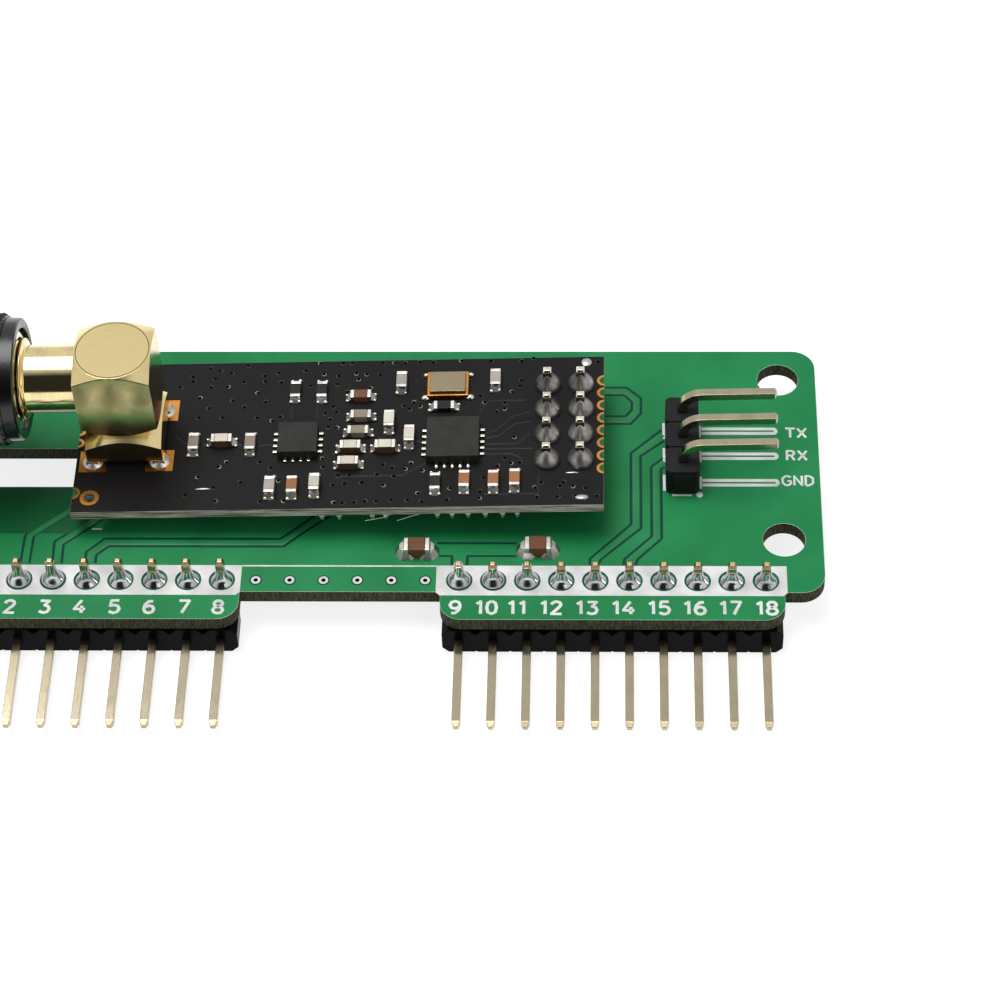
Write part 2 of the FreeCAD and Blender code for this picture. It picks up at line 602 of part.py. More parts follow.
def make_serial_header():
    """A three-pin header whose pins are bent over to the right."""
    span = "Sizes.pin_pitch * (Sizes.serial_pins - 1)"
    half = "(Sizes.header_width / 2)"

    plastic = body_for("SerialHeaderBody")
    plan = new_sketch(plastic, "SerialHeaderPlan", "XY_Plane")
    groove = "Sizes.serial_groove"
    profile = cell_profile(count("serial_pins"), groove, groove, f"(-{half})", half)
    outline(plan, [(f"(-{across})", along) for along, across in profile])
    pad(plastic, plan, "Sizes.header_height")
    bore = new_sketch(plastic, "SerialHeaderBore", "XY_Plane")
    rectangle(bore, f"-{HALF_PIN}", HALF_PIN, f"-{HALF_PIN}", HALF_PIN)
    cut = pocket(plastic, bore)
    repeat(plastic, "SerialHeaderBores", [cut], "Y_Axis", span, "Sizes.serial_pins")
    bind(plastic, {"x": SERIAL_X, "y": SERIAL_Y, "z": TOP})
    keep(plastic, "serial_header_body")

    pins = body_for("SerialHeaderPins")
    tail = "(-Sizes.tail_below)"
    level = f"({TOP} + Sizes.serial_pin_rise)"
    tip = "Sizes.serial_pin_reach"
    tip_level = f"({level} + Sizes.serial_pin_lift)"
    side = new_sketch(pins, "SerialPinProfile", "XZ_Plane")
    outline(side, [
        (f"-{HALF_PIN}", tail), (HALF_PIN, tail), (HALF_PIN, f"({level} - {HALF_PIN})"),
        (tip, f"({tip_level} - {HALF_PIN})"), (tip, f"({tip_level} + {HALF_PIN})"),
        (f"-{HALF_PIN}", f"({level} + {HALF_PIN})"),
    ])
    pad(pins, side, "Sizes.pin_width", symmetric=True)
    dress(pins, "Fillet", "SerialBendOutside", "Sizes.serial_bend_radius + Sizes.pin_width",
          lambda p: near(p.x, f"-{HALF_PIN}") and near(p.z, f"{level} + {HALF_PIN}"))
    dress(pins, "Fillet", "SerialBendInside", "Sizes.serial_bend_radius",
          lambda p: near(p.x, HALF_PIN) and near(p.z, f"{level} - {HALF_PIN}"))
    dress(pins, "Chamfer", "SerialPinTips", "Sizes.pin_tip_bevel", lambda p: near(p.x, tip))
    repeat(pins, "SerialPinRow", [], "Y_Axis", span, "Sizes.serial_pins")
    bind(pins, {"x": SERIAL_X, "y": SERIAL_Y})
    keep(pins, "serial_header_pins")

    solder = solder_cone("SerialHeaderSolder", "Sizes.pad_radius", "Sizes.solder_neck",
                         "Sizes.tail_solder_height", "Sizes.pin_width", downwards=True)
    repeat(solder, "SerialSolderRow", [], "Y_Axis", span, "Sizes.serial_pins")
    bind(solder, {"x": SERIAL_X, "y": SERIAL_Y})
    keep(solder, "serial_header_solder")


def make_module_header():
    """The header that carries the module: plastic, straight pins and solder at both ends."""
    grid = ("Y_Axis", HEADER_SPAN_Y, "Sizes.module_header_rows")
    columns = (f"{HEADER_SPAN_X}", "Sizes.module_header_columns")

    plastic = body_for("ModuleHeaderBody")
    plan = new_sketch(plastic, "ModuleHeaderPlan", "XY_Plane")
    margin = "Sizes.pin_pitch / 2"
    rectangle(plan, f"({MODULE_PIN_X} - {margin})", f"({MODULE_PIN_X} + {HEADER_SPAN_X} + {margin})",
              f"({MODULE_PIN_Y} - {margin})", f"({MODULE_PIN_Y} + {HEADER_SPAN_Y} + {margin})")
    pad(plastic, plan, "Sizes.header_height")
    bore = new_sketch(plastic, "ModuleHeaderBore", "XY_Plane")
    rectangle(bore, f"({MODULE_PIN_X} - {HALF_PIN})", f"({MODULE_PIN_X} + {HALF_PIN})",
              f"({MODULE_PIN_Y} - {HALF_PIN})", f"({MODULE_PIN_Y} + {HALF_PIN})")
    cut = pocket(plastic, bore)
    repeat(plastic, "ModuleHeaderBores", [cut], "X_Axis", *columns, grid)
    seat_on_module(plastic)
    keep(plastic, "module_header_body")

    pins = body_for("ModuleHeaderPins")
    foot = f"({TOP} + Sizes.tail_below)"
    section = new_sketch(pins, "ModulePinSection", "XY_Plane")
    rectangle(section, f"-{HALF_PIN}", HALF_PIN, f"-{HALF_PIN}", HALF_PIN)
    length = f"{foot} + {MODULE_TOP} + Sizes.module_pin_rise"
    pad(pins, section, length)
    dress(pins, "Chamfer", "ModulePinTips", "Sizes.pin_tip_bevel", lambda p: near(p.z, length))
    repeat(pins, "ModulePinGrid", [], "X_Axis", *columns, grid)
    seat_on_module(pins, (MODULE_PIN_X, MODULE_PIN_Y, f"(-{foot})"))
    keep(pins, "module_header_pins")

    upper = solder_cone("ModuleTopSolder", "Sizes.module_pad_radius", "Sizes.solder_neck",
                        "Sizes.module_solder_height", "Sizes.pin_width")
    repeat(upper, "ModuleTopSolderGrid", [], "X_Axis", *columns, grid)
    seat_on_module(upper, (MODULE_PIN_X, MODULE_PIN_Y, MODULE_TOP))
    keep(upper, "module_top_solder")

    # The carrier isn't tilted, so this solder stands straight and the tilted pins are cut out of it
    lower = solder_cone("ModuleTails", "Sizes.pad_radius", "Sizes.solder_neck", "Sizes.tail_solder_height",
                        downwards=True)
    repeat(lower, "ModuleTailGrid", [], "X_Axis", *columns, grid)
    bind(lower, {"x": f"{MODULE_X} + {MODULE_PIN_X} + {TOP} * {TILT_SIN}", "y": MODULE_PIN_Y})
    keep(combined("Cut", "ModuleBottomSolder", lower, pins), "module_bottom_solder")


def from_module_corner(place):
    """A place in the module's frame, from a share of its length and a distance from its front edge."""
    return f"({MODULE_RIGHT} - {place[0]} * Sizes.module_length)", f"({MODULE_FRONT} + {place[1]})"


def make_module_board():
    """The module's board with its pin, leg and corner holes and the half holes in its right edge."""
    body = body_for("ModuleBoard")
    plan = new_sketch(body, "ModulePlan", "XY_Plane")
    rectangle(plan, MODULE_LEFT, MODULE_RIGHT, MODULE_FRONT, MODULE_BACK)
    pad(body, plan, "Sizes.module_thickness")
    pins = new_sketch(body, "ModuleBoardPinHoles", "XY_Plane")
    square(pins, (MODULE_PIN_X, MODULE_PIN_Y), "Sizes.pin_hole_width")
    cut = pocket(body, pins)
    repeat(body, "ModuleBoardPinGrid", [cut], "X_Axis", HEADER_SPAN_X, "Sizes.module_header_columns",
           ("Y_Axis", HEADER_SPAN_Y, "Sizes.module_header_rows"))
    edge = new_sketch(body, "EdgeHole", "XY_Plane")
    circle(edge, (MODULE_RIGHT, f"{MODULE_FRONT} + Sizes.edge_hole_first"), "Sizes.edge_hole_radius")
    cut = pocket(body, edge)
    repeat(body, "EdgeHoles", [cut], "Y_Axis", "Sizes.edge_hole_pitch * (Sizes.edge_holes - 1)",
           "Sizes.edge_holes")
    corner = new_sketch(body, "CornerHoles", "XY_Plane")
    for along, across in CORNER_HOLE_PLACES:
        circle(corner, (f"({MODULE_LEFT} + {along})", f"({MODULE_FRONT} + {across})"),
               "Sizes.corner_hole_radius")
    pocket(body, corner)
    legs = new_sketch(body, "LegHoles", "XY_Plane")
    for along in ("-", "+"):
        for across in ("-", "+"):
            square(legs, (f"{CONNECTOR_X} {along} Sizes.leg_spacing / 2",
                          f"Sizes.module_centre {across} Sizes.leg_spacing / 2"), "Sizes.leg_hole_width")
    pocket(body, legs)
    seat_on_module(body, ("0", "0", MODULE_UNDERSIDE))
    keep(body, "module_board")


def chip_box(name, place, turned, size, start, level=MODULE_TOP):
    """A box on a chip's centre line: start and size[0] run along the chip, size[1] across it."""
    length, width, height = size
    centre_x, centre_y = place
    if turned:
        corner = (f"{centre_x} + {start}", f"{centre_y} - {width} / 2", level)
        return box(name, (length, width, height), corner)
    corner = (f"{centre_x} - {width} / 2", f"{centre_y} + {start}", level)
    return box(name, (width, length, height), corner)


def chip_fillet(name, place, turned, side):
    """A wedge of solder against one end of a chip."""
    wedge = doc.addObject("Part::Wedge", name)
    bind(wedge, {
        "Xmin": "0", "Xmax": "Sizes.fillet_reach", "X2min": "0", "X2max": "0",
        "Ymin": "0", "Ymax": "Sizes.fillet_height",
        "Zmin": "0", "Zmax": "Sizes.chip_width", "Z2min": "0", "Z2max": "Sizes.chip_width",
    })
    heading = (0 if side > 0 else 180) + (0 if turned else 90)
    wedge.Placement = Placement(Vector(), Rotation(Vector(0, 0, 1), heading) * Rotation(Vector(1, 0, 0), 90))
    along = f"{side} * Sizes.chip_length / 2"
    across = f"{side} * Sizes.chip_width / 2"
    centre_x, centre_y = place
    if turned:
        return bind(wedge, {"x": f"{centre_x} + {along}", "y": f"{centre_y} + {across}", "z": MODULE_TOP})
    return bind(wedge, {"x": f"{centre_x} - {across}", "y": f"{centre_y} + {along}", "z": MODULE_TOP})


def make_chip_components():
    """Capacitors, inductors and resistors: ceramic middles, metal ends and solder."""
    kinds = [
        ("Capacitor", CAPACITOR_PLACES, "Sizes.capacitor_height"),
        ("Inductor", INDUCTOR_PLACES, "Sizes.inductor_height"),
        ("Resistor", RESISTOR_PLACES, "Sizes.resistor_height"),
    ]
    middle_length = "(Sizes.chip_length - 2 * Sizes.chip_end)"
    ends = []
    fillets = []
    for kind, places, height in kinds:
        middles = []
        for step, (along, across, turned) in enumerate(places):
            place = from_module_corner((along, across))
            middle_size = (middle_length, "Sizes.chip_width", height)
            middles.append(chip_box(f"{kind}{step}", place, turned, middle_size, f"(-{middle_length} / 2)"))
            end_size = ("Sizes.chip_end", "Sizes.chip_width", height)
            for side, start in ((-1, "(-Sizes.chip_length / 2)"), (1, f"({middle_length} / 2)")):
                name = f"{kind}{step}{'Near' if side < 0 else 'Far'}"
                ends.append(chip_box(f"{name}End", place, turned, end_size, start))
                fillets.append(chip_fillet(f"{name}Solder", place, turned, side))
        keep(seat_on_module(grouped(f"{kind}Bodies", middles)), f"{kind.lower()}_bodies")
    keep(seat_on_module(grouped("ComponentEnds", ends)), "component_ends")
    keep(seat_on_module(grouped("ComponentSolder", fillets)), "component_solder")


def make_square_chip(name, place, side, leads_a_side, node):
    """A flat square chip, and the solder at its leads as a list of boxes."""
    centre = from_module_corner(place)
    start = f"(-{side} / 2)"
    body = chip_box(name, centre, True, (side, side, "Sizes.chip_body_height"), start)
    keep(seat_on_module(body, (f"({centre[0]} - {side} / 2)", f"({centre[1]} - {side} / 2)", MODULE_TOP)),
         node)
    leads = []
    for turned in (True, False):
        for end in (f"({side} / 2)", f"(-{side} / 2 - Sizes.lead_reach)"):
            for lead in range(leads_a_side):
                shift = f"Sizes.lead_pitch * {lead - (leads_a_side - 1) / 2}"
                across = (centre[0], f"{centre[1]} + {shift}") if turned else \
                    (f"{centre[0]} + {shift}", centre[1])
                size = ("Sizes.lead_reach", "Sizes.lead_width", "Sizes.lead_height")
                leads.append(chip_box(f"{name}Lead{len(leads)}", across, turned, size, end))
    return leads


def make_chips():
    """The radio and amplifier chips, their solder, and the crystal."""
    leads = make_square_chip("RadioChip", RADIO_PLACE, "Sizes.radio_side", count("radio_leads"), "radio_chip")
    leads += make_square_chip("AmplifierChip", AMPLIFIER_PLACE, "Sizes.amplifier_side",
                              count("amplifier_leads"), "amplifier_chip")
    keep(seat_on_module(grouped("ChipLeads", leads)), "chip_leads")
    across, along = from_module_corner(CRYSTAL_PLACE)
    base = box("CrystalBase", ("Sizes.crystal_length", "Sizes.crystal_width", "Sizes.crystal_base_height"),
               ("0", "0", "0"))
    seat_on_module(base, (f"({across} - Sizes.crystal_length / 2)",
                          f"({along} - Sizes.crystal_width / 2)", MODULE_TOP))
    keep(base, "crystal_base")
    inset = "Sizes.crystal_lid_inset"
    lid = box("CrystalLid", (f"Sizes.crystal_length - 2 * {inset}", f"Sizes.crystal_width - 2 * {inset}",
                             "Sizes.crystal_lid_height"), ("0", "0", "0"))
    seat_on_module(lid, (f"({across} - Sizes.crystal_length / 2 + {inset})",
                         f"({along} - Sizes.crystal_width / 2 + {inset})",
                         f"({MODULE_TOP} + Sizes.crystal_base_height)"))
    keep(lid, "crystal_lid")


def make_power_capacitors():
    """Two larger chip capacitors on the carrier, each in two mounds of solder."""
    middle = "(Sizes.power_length - 2 * Sizes.power_end)"
    middles = []
    ends = []
    mounds = []
    for step, (along, across) in enumerate(POWER_PLACES):
        place = (f"({FIRST_RIGHT_PIN} + {along})", f"({FRONT} + {across})")
        size = (middle, "Sizes.power_width", "Sizes.power_height")
        middles.append(chip_box(f"Power{step}", place, True, size, f"(-{middle} / 2)", TOP))
        end_size = ("Sizes.power_end", "Sizes.power_width", "Sizes.power_height")
        for side, start in (("-", "(-Sizes.power_length / 2)"), ("+", f"({middle} / 2)")):
            label = "Left" if side == "-" else "Right"
            ends.append(chip_box(f"Power{step}{label}End", place, True, end_size, start, TOP))
            mound = solder_cone(f"Power{step}{label}Mound", "Sizes.power_solder_radius",
                                "Sizes.power_solder_neck", "Sizes.power_solder_height")
            centre = f"{place[0]} {side} (Sizes.power_length - Sizes.power_end) / 2"
            mounds.append(bind(mound, {"x": centre, "y": place[1], "z": TOP}))
    bodies = keep(grouped("PowerCapacitors", middles), "power_capacitors")
    caps = keep(grouped("PowerCapacitorEnds", ends), "power_capacitor_ends")
    clear = combined("Cut", "PowerMoundsClear", grouped("PowerMounds", mounds), caps)
    keep(combined("Cut", "PowerCapacitorSolder", clear, bodies), "power_capacitor_solder")


def make_connector_block():
    """A square block turned between centres: bevelled top, neck, and a base plate on four legs.

    Each bevel is a cone that starts at the circle inside the square, so it cuts an arc in each side.
    """
    corner = f"({BLOCK_HALF} * sqrt(2))"
    slope = f"(Sizes.cone_drop / ({corner} - {BLOCK_HALF}))"
    beyond = f"({corner} + Sizes.part_gap)"
    top = "Sizes.connector_height"
    base_neck = f"(Sizes.base_corner_height + {slope} * ({corner} - Sizes.neck_radius))"
    block_neck = f"(Sizes.block_corner_height - {slope} * ({corner} - Sizes.neck_radius))"
    turned = body_for("TurnedBlock")
    profile = new_sketch(turned, "TurnedProfile", "XZ_Plane")
    outline(profile, [
        ("0", "Sizes.connector_stand"), (beyond, "Sizes.connector_stand"),
        (beyond, f"(Sizes.base_corner_height - {slope} * ({beyond} - {corner}))"),
        ("Sizes.neck_radius", base_neck), ("Sizes.neck_radius", block_neck),
        (beyond, f"(Sizes.block_corner_height + {slope} * ({beyond} - {corner}))"),
        (beyond, f"({top} - {slope} * ({beyond} - {BLOCK_HALF}))"), (BLOCK_HALF, top), ("0", top),
    ])
    revolve(turned, profile, "Z_Axis")
    square = box("SquareBar", ("Sizes.connector_side", "Sizes.connector_side", top),
                 (f"-{BLOCK_HALF}", f"-{BLOCK_HALF}", "0"))
    milled = combined("Common", "MilledBlock", turned, square)
    legs = []
    depth = "(Sizes.module_thickness + Sizes.leg_tail)"
    for along in ("-", ""):
        for across in ("-", ""):
            corner_place = (f"{along}Sizes.leg_spacing / 2 - Sizes.leg_width / 2",
                            f"{across}Sizes.leg_spacing / 2 - Sizes.leg_width / 2", f"-{depth}")
            legs.append(box(f"Leg{len(legs)}", ("Sizes.leg_width", "Sizes.leg_width",
                                                f"{depth} + Sizes.connector_stand"), corner_place))
    block = fused("ConnectorBlock", [milled] + legs)
    seat_on_module(block, (CONNECTOR_X, "Sizes.module_centre", MODULE_TOP))
    keep(block, "connector_block")
    mounds = []
    corner_leg = (f"{CONNECTOR_X} - Sizes.leg_spacing / 2", "Sizes.module_centre - Sizes.leg_spacing / 2")
    for name, height, level in (("LegMounds", "Sizes.connector_stand", MODULE_TOP),
                                ("LegTailMounds", "Sizes.leg_tail", MODULE_UNDERSIDE)):
        mound = solder_cone(name, "Sizes.leg_solder_radius", "Sizes.leg_solder_neck", height,
                            "Sizes.leg_width", downwards=level == MODULE_UNDERSIDE)
        repeat(mound, f"{name}Grid", [], "X_Axis", "Sizes.leg_spacing", "2",
               ("Y_Axis", "Sizes.leg_spacing", "2"))
        mounds.append(seat_on_module(mound, (*corner_leg, level)))
    keep(grouped("ConnectorSolder", mounds), "connector_solder")


def seat_on_axis(thing, station="0"):
    """Place a turned piece on the connector's axis. It is drawn along -X from the block's face."""
    along = f"({CONNECTOR_X} - {BLOCK_HALF} - {station})"
    return seat_on_module(thing, (along, "Sizes.module_centre", AXIS_Z))


def turned_piece(name, points):
    """A body turned about the connector's axis from pairs of station and radius."""
    body = body_for(name)
    profile = new_sketch(body, f"{name}Profile", "XY_Plane")
    outline(profile, [(f"(-{station})", radius) for station, radius in points])
    revolve(body, profile, "X_Axis")
    return body


def make_connector_barrel():
    """The barrel, with its insulator and centre contact."""
    bore = "Sizes.insulator_radius"
    pin = "Sizes.contact_radius"
    barrel = turned_piece("ConnectorBarrel", [
        ("0", bore), ("0", "Sizes.barrel_radius"), (SHOULDER, "Sizes.barrel_radius"),
        (SHOULDER, "Sizes.thread_radius"), (BARREL_END, "Sizes.thread_radius"), (BARREL_END, bore)])
    keep(seat_on_axis(barrel), "connector_barrel")
    insulator = turned_piece("ConnectorInsulator", [
        ("0", pin), ("0", bore), (BARREL_END, bore), (BARREL_END, pin)])
    keep(seat_on_axis(insulator), "connector_insulator")
    contact = turned_piece("ConnectorContact", [
        ("0", "0"), ("0", pin), (BARREL_END, pin), (BARREL_END, "0")])
    keep(seat_on_axis(contact), "connector_contact")


def make_antenna_coupling():
    """The coupling nut inside its knurled sleeve. The ferrule passes through the back of both."""
    bore = "(Sizes.thread_radius + Sizes.nut_clearance)"
    throat = "(Sizes.ferrule_radius + Sizes.running_clearance)"
    nut = turned_piece("AntennaNut", [
        (NUT_START, bore), (NUT_START, "Sizes.nut_radius"), (SLEEVE_END, "Sizes.nut_radius"),
        (SLEEVE_END, throat),
        (f"({BARREL_END} + Sizes.part_gap)", throat), (f"({BARREL_END} + Sizes.part_gap)", bore)])
    keep(seat_on_axis(nut), "antenna_nut")
    knurl_start = f"({SLEEVE_START} + Sizes.sleeve_mouth_length)"
    sleeve = turned_piece("AntennaSleeve", [
        (SLEEVE_START, "Sizes.nut_radius"), (SLEEVE_START, "Sizes.sleeve_mouth_radius"),
        (knurl_start, "Sizes.sleeve_mouth_radius"), (knurl_start, "Sizes.sleeve_radius"),
        (SLEEVE_END, "Sizes.sleeve_radius"), (SLEEVE_END, "Sizes.nut_radius")])
    keep(seat_on_axis(sleeve), "antenna_sleeve")


def fork_box(name, half_width, start, end):
    """A box across the fork: it spans the antenna's whole height."""
    return box(name, (f"{end} - {start}", f"2 * {half_width}", "2 * Sizes.sleeve_radius"),
               (f"(-{end})", f"(-{half_width})", "(-Sizes.sleeve_radius)"))


def hinge_drum(name, radius, half_width):
    """A drum across the antenna, on the hinge's axis."""
    drum = doc.addObject("Part::Cylinder", name)
    drum.Placement = Placement(Vector(), Rotation(Vector(1, 0, 0), -90))
    bind(drum, {"Radius": radius, "Height": f"2 * {half_width}"})
    return bind(drum, {"x": f"(-{HINGE})", "y": f"(-{half_width})"})


def make_antenna_base():
    """The swivelling base: a collar, a fork with rounded ears, and the ferrule pressed into it."""
    ferrule_start = f"({BARREL_END} + Sizes.part_gap / 2)"
    ferrule_end = f"({BASE_START} + Sizes.collar_length / 2)"
    stem = turned_piece("AntennaBaseStem", [
        (BASE_START, "Sizes.ferrule_radius"), (BASE_START, "Sizes.antenna_radius"),
        (HINGE, "Sizes.antenna_radius"),
        (HINGE, "0"), (ferrule_end, "0"), (ferrule_end, "Sizes.ferrule_radius")])
    # The ears end in a drum about the hinge, trimmed to the round of the antenna
    ear_end = f"({HINGE} + Sizes.antenna_radius)"
    round_bar = turned_piece("AntennaBaseRound", [
        (FORK_START, "0"), (FORK_START, "Sizes.antenna_radius"),
        (ear_end, "Sizes.antenna_radius"), (ear_end, "0")])
    ear_drum = hinge_drum("EarDrum", "Sizes.antenna_radius", "Sizes.antenna_radius")
    ears = combined("Common", "AntennaEars", round_bar, ear_drum)
    whole = fused("AntennaBaseWhole", [stem, ears])
    slot = fork_box("ForkSlot", "(Sizes.fork_gap / 2)", FORK_START, WHIP_START)
    forked = combined("Cut", "AntennaFork", whole, slot)
    bore = hinge_drum("EarBore", "Sizes.hinge_pin_radius", "Sizes.sleeve_radius")
    base = combined("Cut", "AntennaBase", forked, bore)
    keep(seat_on_axis(base), "antenna_base")
    ferrule = turned_piece("AntennaFerrule", [
        (ferrule_start, "0"), (ferrule_start, "Sizes.ferrule_radius"),
        (ferrule_end, "Sizes.ferrule_radius"), (ferrule_end, "0")])
    keep(seat_on_axis(ferrule), "antenna_ferrule")
    pin = hinge_drum("HingePin", "Sizes.hinge_pin_radius", "(Sizes.hinge_pin_length / 2)")
    holder = grouped("HingePinSeat", [pin])
    keep(seat_on_axis(holder), "hinge_pin")


def make_antenna_whip():
    """The whip: a tongue in the fork, a foot, a long rod and an end cap."""
    foot_end = f"({WHIP_START} + Sizes.whip_foot_length)"
    rod = turned_piece("WhipRod", [
        (WHIP_START, "0"), (WHIP_START, "Sizes.antenna_radius"), (foot_end, "Sizes.antenna_radius"),
        (foot_end, "Sizes.whip_radius"), (WHIP_END, "Sizes.whip_radius"), (WHIP_END, "0")])
    tongue_round = hinge_drum("TongueRound", TONGUE_RADIUS, HALF_TONGUE)
    tongue_end = f"({WHIP_START} + Sizes.tongue_root)"
    tongue_bar = box("TongueBar", (f"{tongue_end} - {HINGE}", f"2 * {HALF_TONGUE}", f"2 * {TONGUE_RADIUS}"),
                     (f"(-{tongue_end})", f"(-{HALF_TONGUE})", f"(-{TONGUE_RADIUS})"))
    whole = fused("WhipWhole", [rod, tongue_round, tongue_bar])
    bore = hinge_drum("TongueBore", "Sizes.hinge_pin_radius + Sizes.running_clearance", "Sizes.sleeve_radius")
    whip = combined("Cut", "AntennaWhip", whole, bore)
    keep(seat_on_axis(whip), "antenna_whip")
    cap_end = f"({WHIP_END} + Sizes.cap_length)"
    cap = turned_piece("AntennaCap", [
        (WHIP_END, "0"), (WHIP_END, "Sizes.cap_radius"), (cap_end, "Sizes.cap_radius"), (cap_end, "0")])
    keep(seat_on_axis(cap), "antenna_cap")


def check_and_export():
    """Stop on any failed object, then write one file for each sub-part."""
    doc.recompute()
    failed = [thing.Name for thing in doc.Objects
              if any(state in ("Invalid", "Error") for state in thing.State)]
    if failed:
        raise RuntimeError(f"failed objects: {failed}")
    os.makedirs("parts", exist_ok=True)
    for thing in nodes:
        shape = thing.Shape
        if shape.isNull() or not shape.isValid() or not shape.Solids:
            raise RuntimeError(f"{thing.Label} has no valid solid")
        shape.exportStep(f"parts/{thing.Label}.step")
        print(f"{thing.Label}: {len(shape.Solids)} solids, {shape.Volume:.2f} mm3")


make_carrier_board()
make_front_header("Left", FIRST_PIN, "left_pins")
make_front_header("Right", FIRST_RIGHT_PIN, "right_pins")
make_serial_header()
make_power_capacitors()
make_module_header()
make_module_board()
make_chips()
make_chip_components()
make_connector_block()
make_connector_barrel()
make_antenna_coupling()
make_antenna_base()
make_antenna_whip()
check_and_export()
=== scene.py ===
import math
import random

import bmesh
import bpy
from bpy.props import FloatProperty, FloatVectorProperty, IntProperty, PointerProperty
from mathutils import Matrix, Vector


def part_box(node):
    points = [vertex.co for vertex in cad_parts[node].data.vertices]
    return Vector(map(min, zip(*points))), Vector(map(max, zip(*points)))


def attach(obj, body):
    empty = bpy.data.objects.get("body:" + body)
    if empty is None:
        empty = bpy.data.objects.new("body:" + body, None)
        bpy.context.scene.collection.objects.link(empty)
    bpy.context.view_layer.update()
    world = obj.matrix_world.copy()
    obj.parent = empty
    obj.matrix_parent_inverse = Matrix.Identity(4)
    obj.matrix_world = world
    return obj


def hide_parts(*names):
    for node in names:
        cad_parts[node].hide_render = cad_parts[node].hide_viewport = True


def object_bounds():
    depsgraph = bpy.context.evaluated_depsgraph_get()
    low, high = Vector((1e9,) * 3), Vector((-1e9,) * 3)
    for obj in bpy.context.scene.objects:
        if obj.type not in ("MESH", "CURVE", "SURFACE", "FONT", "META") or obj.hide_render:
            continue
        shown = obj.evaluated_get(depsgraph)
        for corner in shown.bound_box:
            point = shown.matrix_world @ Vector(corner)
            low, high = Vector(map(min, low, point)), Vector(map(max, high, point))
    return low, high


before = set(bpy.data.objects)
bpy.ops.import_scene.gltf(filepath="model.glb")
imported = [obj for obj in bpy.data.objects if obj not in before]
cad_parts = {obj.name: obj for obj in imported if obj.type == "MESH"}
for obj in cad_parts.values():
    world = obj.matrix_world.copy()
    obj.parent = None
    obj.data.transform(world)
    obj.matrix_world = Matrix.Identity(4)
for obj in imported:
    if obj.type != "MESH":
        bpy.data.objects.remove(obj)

CAD_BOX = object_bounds()

bl_info = {
    "name": "Radio development board",
    "version": (1, 0, 0),
    "blender": (4, 5, 0),
    "location": "3D View > Sidebar > Board",
    "description": "Dresses the packed radio development board and lights it",
    "category": "Object",
}

MM = 0.001
BOARD, SWIVEL, WHIP = "board", "antenna_swivel", "whip"
# Vertices of a CAD mesh nearer than this are one vertex
SAME_POINT = 0.001 * MM
# Creases sharper than this stay sharp, and a flat joint under the other is dissolved
CREASE = math.radians(32)
FLAT = math.radians(0.8)

CARRIER_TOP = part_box("carrier_board")[1].z / MM
# The row at the carrier's front edge: pins at the left tab, open places, pins at the right tab
PITCH = 2.54
LEFT_PINS, OPEN_PLACES, ROW_PLACES = 8, 6, 24
FRONT_PINS = [*range(LEFT_PINS), *range(LEFT_PINS + OPEN_PLACES, ROW_PLACES)]
FIRST_PIN = -PITCH * (ROW_PLACES - 1) / 2
PIN_ROW = -12.1

# The module stands on its header, tilted a little: its own frame in the row's frame
TILT = math.radians(1.5)
MODULE = Matrix((
    (math.cos(TILT), 0, -math.sin(TILT), 11.64 * MM),
    (0, 1, 0, 0),
    (math.sin(TILT), 0, math.cos(TILT), CARRIER_TOP * MM),
    (0, 0, 0, 1)))
MODULE_RIGHT, MODULE_LEFT, MODULE_FRONT = 5.58, -34.62, -7.58
MODULE_UNDERSIDE, MODULE_TOP = 2.54, 3.34
MODULE_PINS_X = (1.27, 3.81)
MODULE_PINS_Y = (-3.13, -0.59, 1.95, 4.49)
MODULE_PIN_TOP = 5.24
CONNECTOR = Vector((-30.77, -0.08, MODULE_TOP))
AXIS_HEIGHT = 6.78
BLOCK_FACE = 2.9
# Stations run outwards from the block's face along the connector's axis
AXIS = (MODULE @ Matrix.Translation((CONNECTOR + Vector((-BLOCK_FACE, 0, AXIS_HEIGHT))) * MM)
        @ Matrix.Rotation(-math.pi / 2, 4, "Y"))

# Chips on the module: distance from its right edge, distance from its front edge, lies along X, finish
CAPACITORS = [
    (31.3, 6.5, False, "buff"), (26.95, 6.4, False, "buff"), (25.2, 2.05, False, "pale"),
    (23.5, 2.05, False, "orange"), (18.7, 11.05, True, "umber"), (18.6, 9.0, True, "buff"),
    (18.75, 7.4, True, "buff"), (15.6, 12.5, False, "pale"), (10.5, 2.35, False, "orange"),
    (8.3, 2.3, False, "orange"), (6.7, 2.4, False, "orange"), (8.35, 12.6, False, "pale"),
]
INDUCTORS = [
    (29.15, 6.65, True), (21.8, 2.15, False), (19.25, 5.8, True), (19.35, 4.2, True),
    (16.4, 8.4, False), (16.6, 5.8, True), (14.8, 6.85, False),
]
RESISTORS = [(23.8, 11.8, False), (21.75, 11.75, False), (12.25, 9.9, True), (12.7, 2.25, False)]
RADIO, CRYSTAL = (11.45, 6.3), (12.0, 12.05)
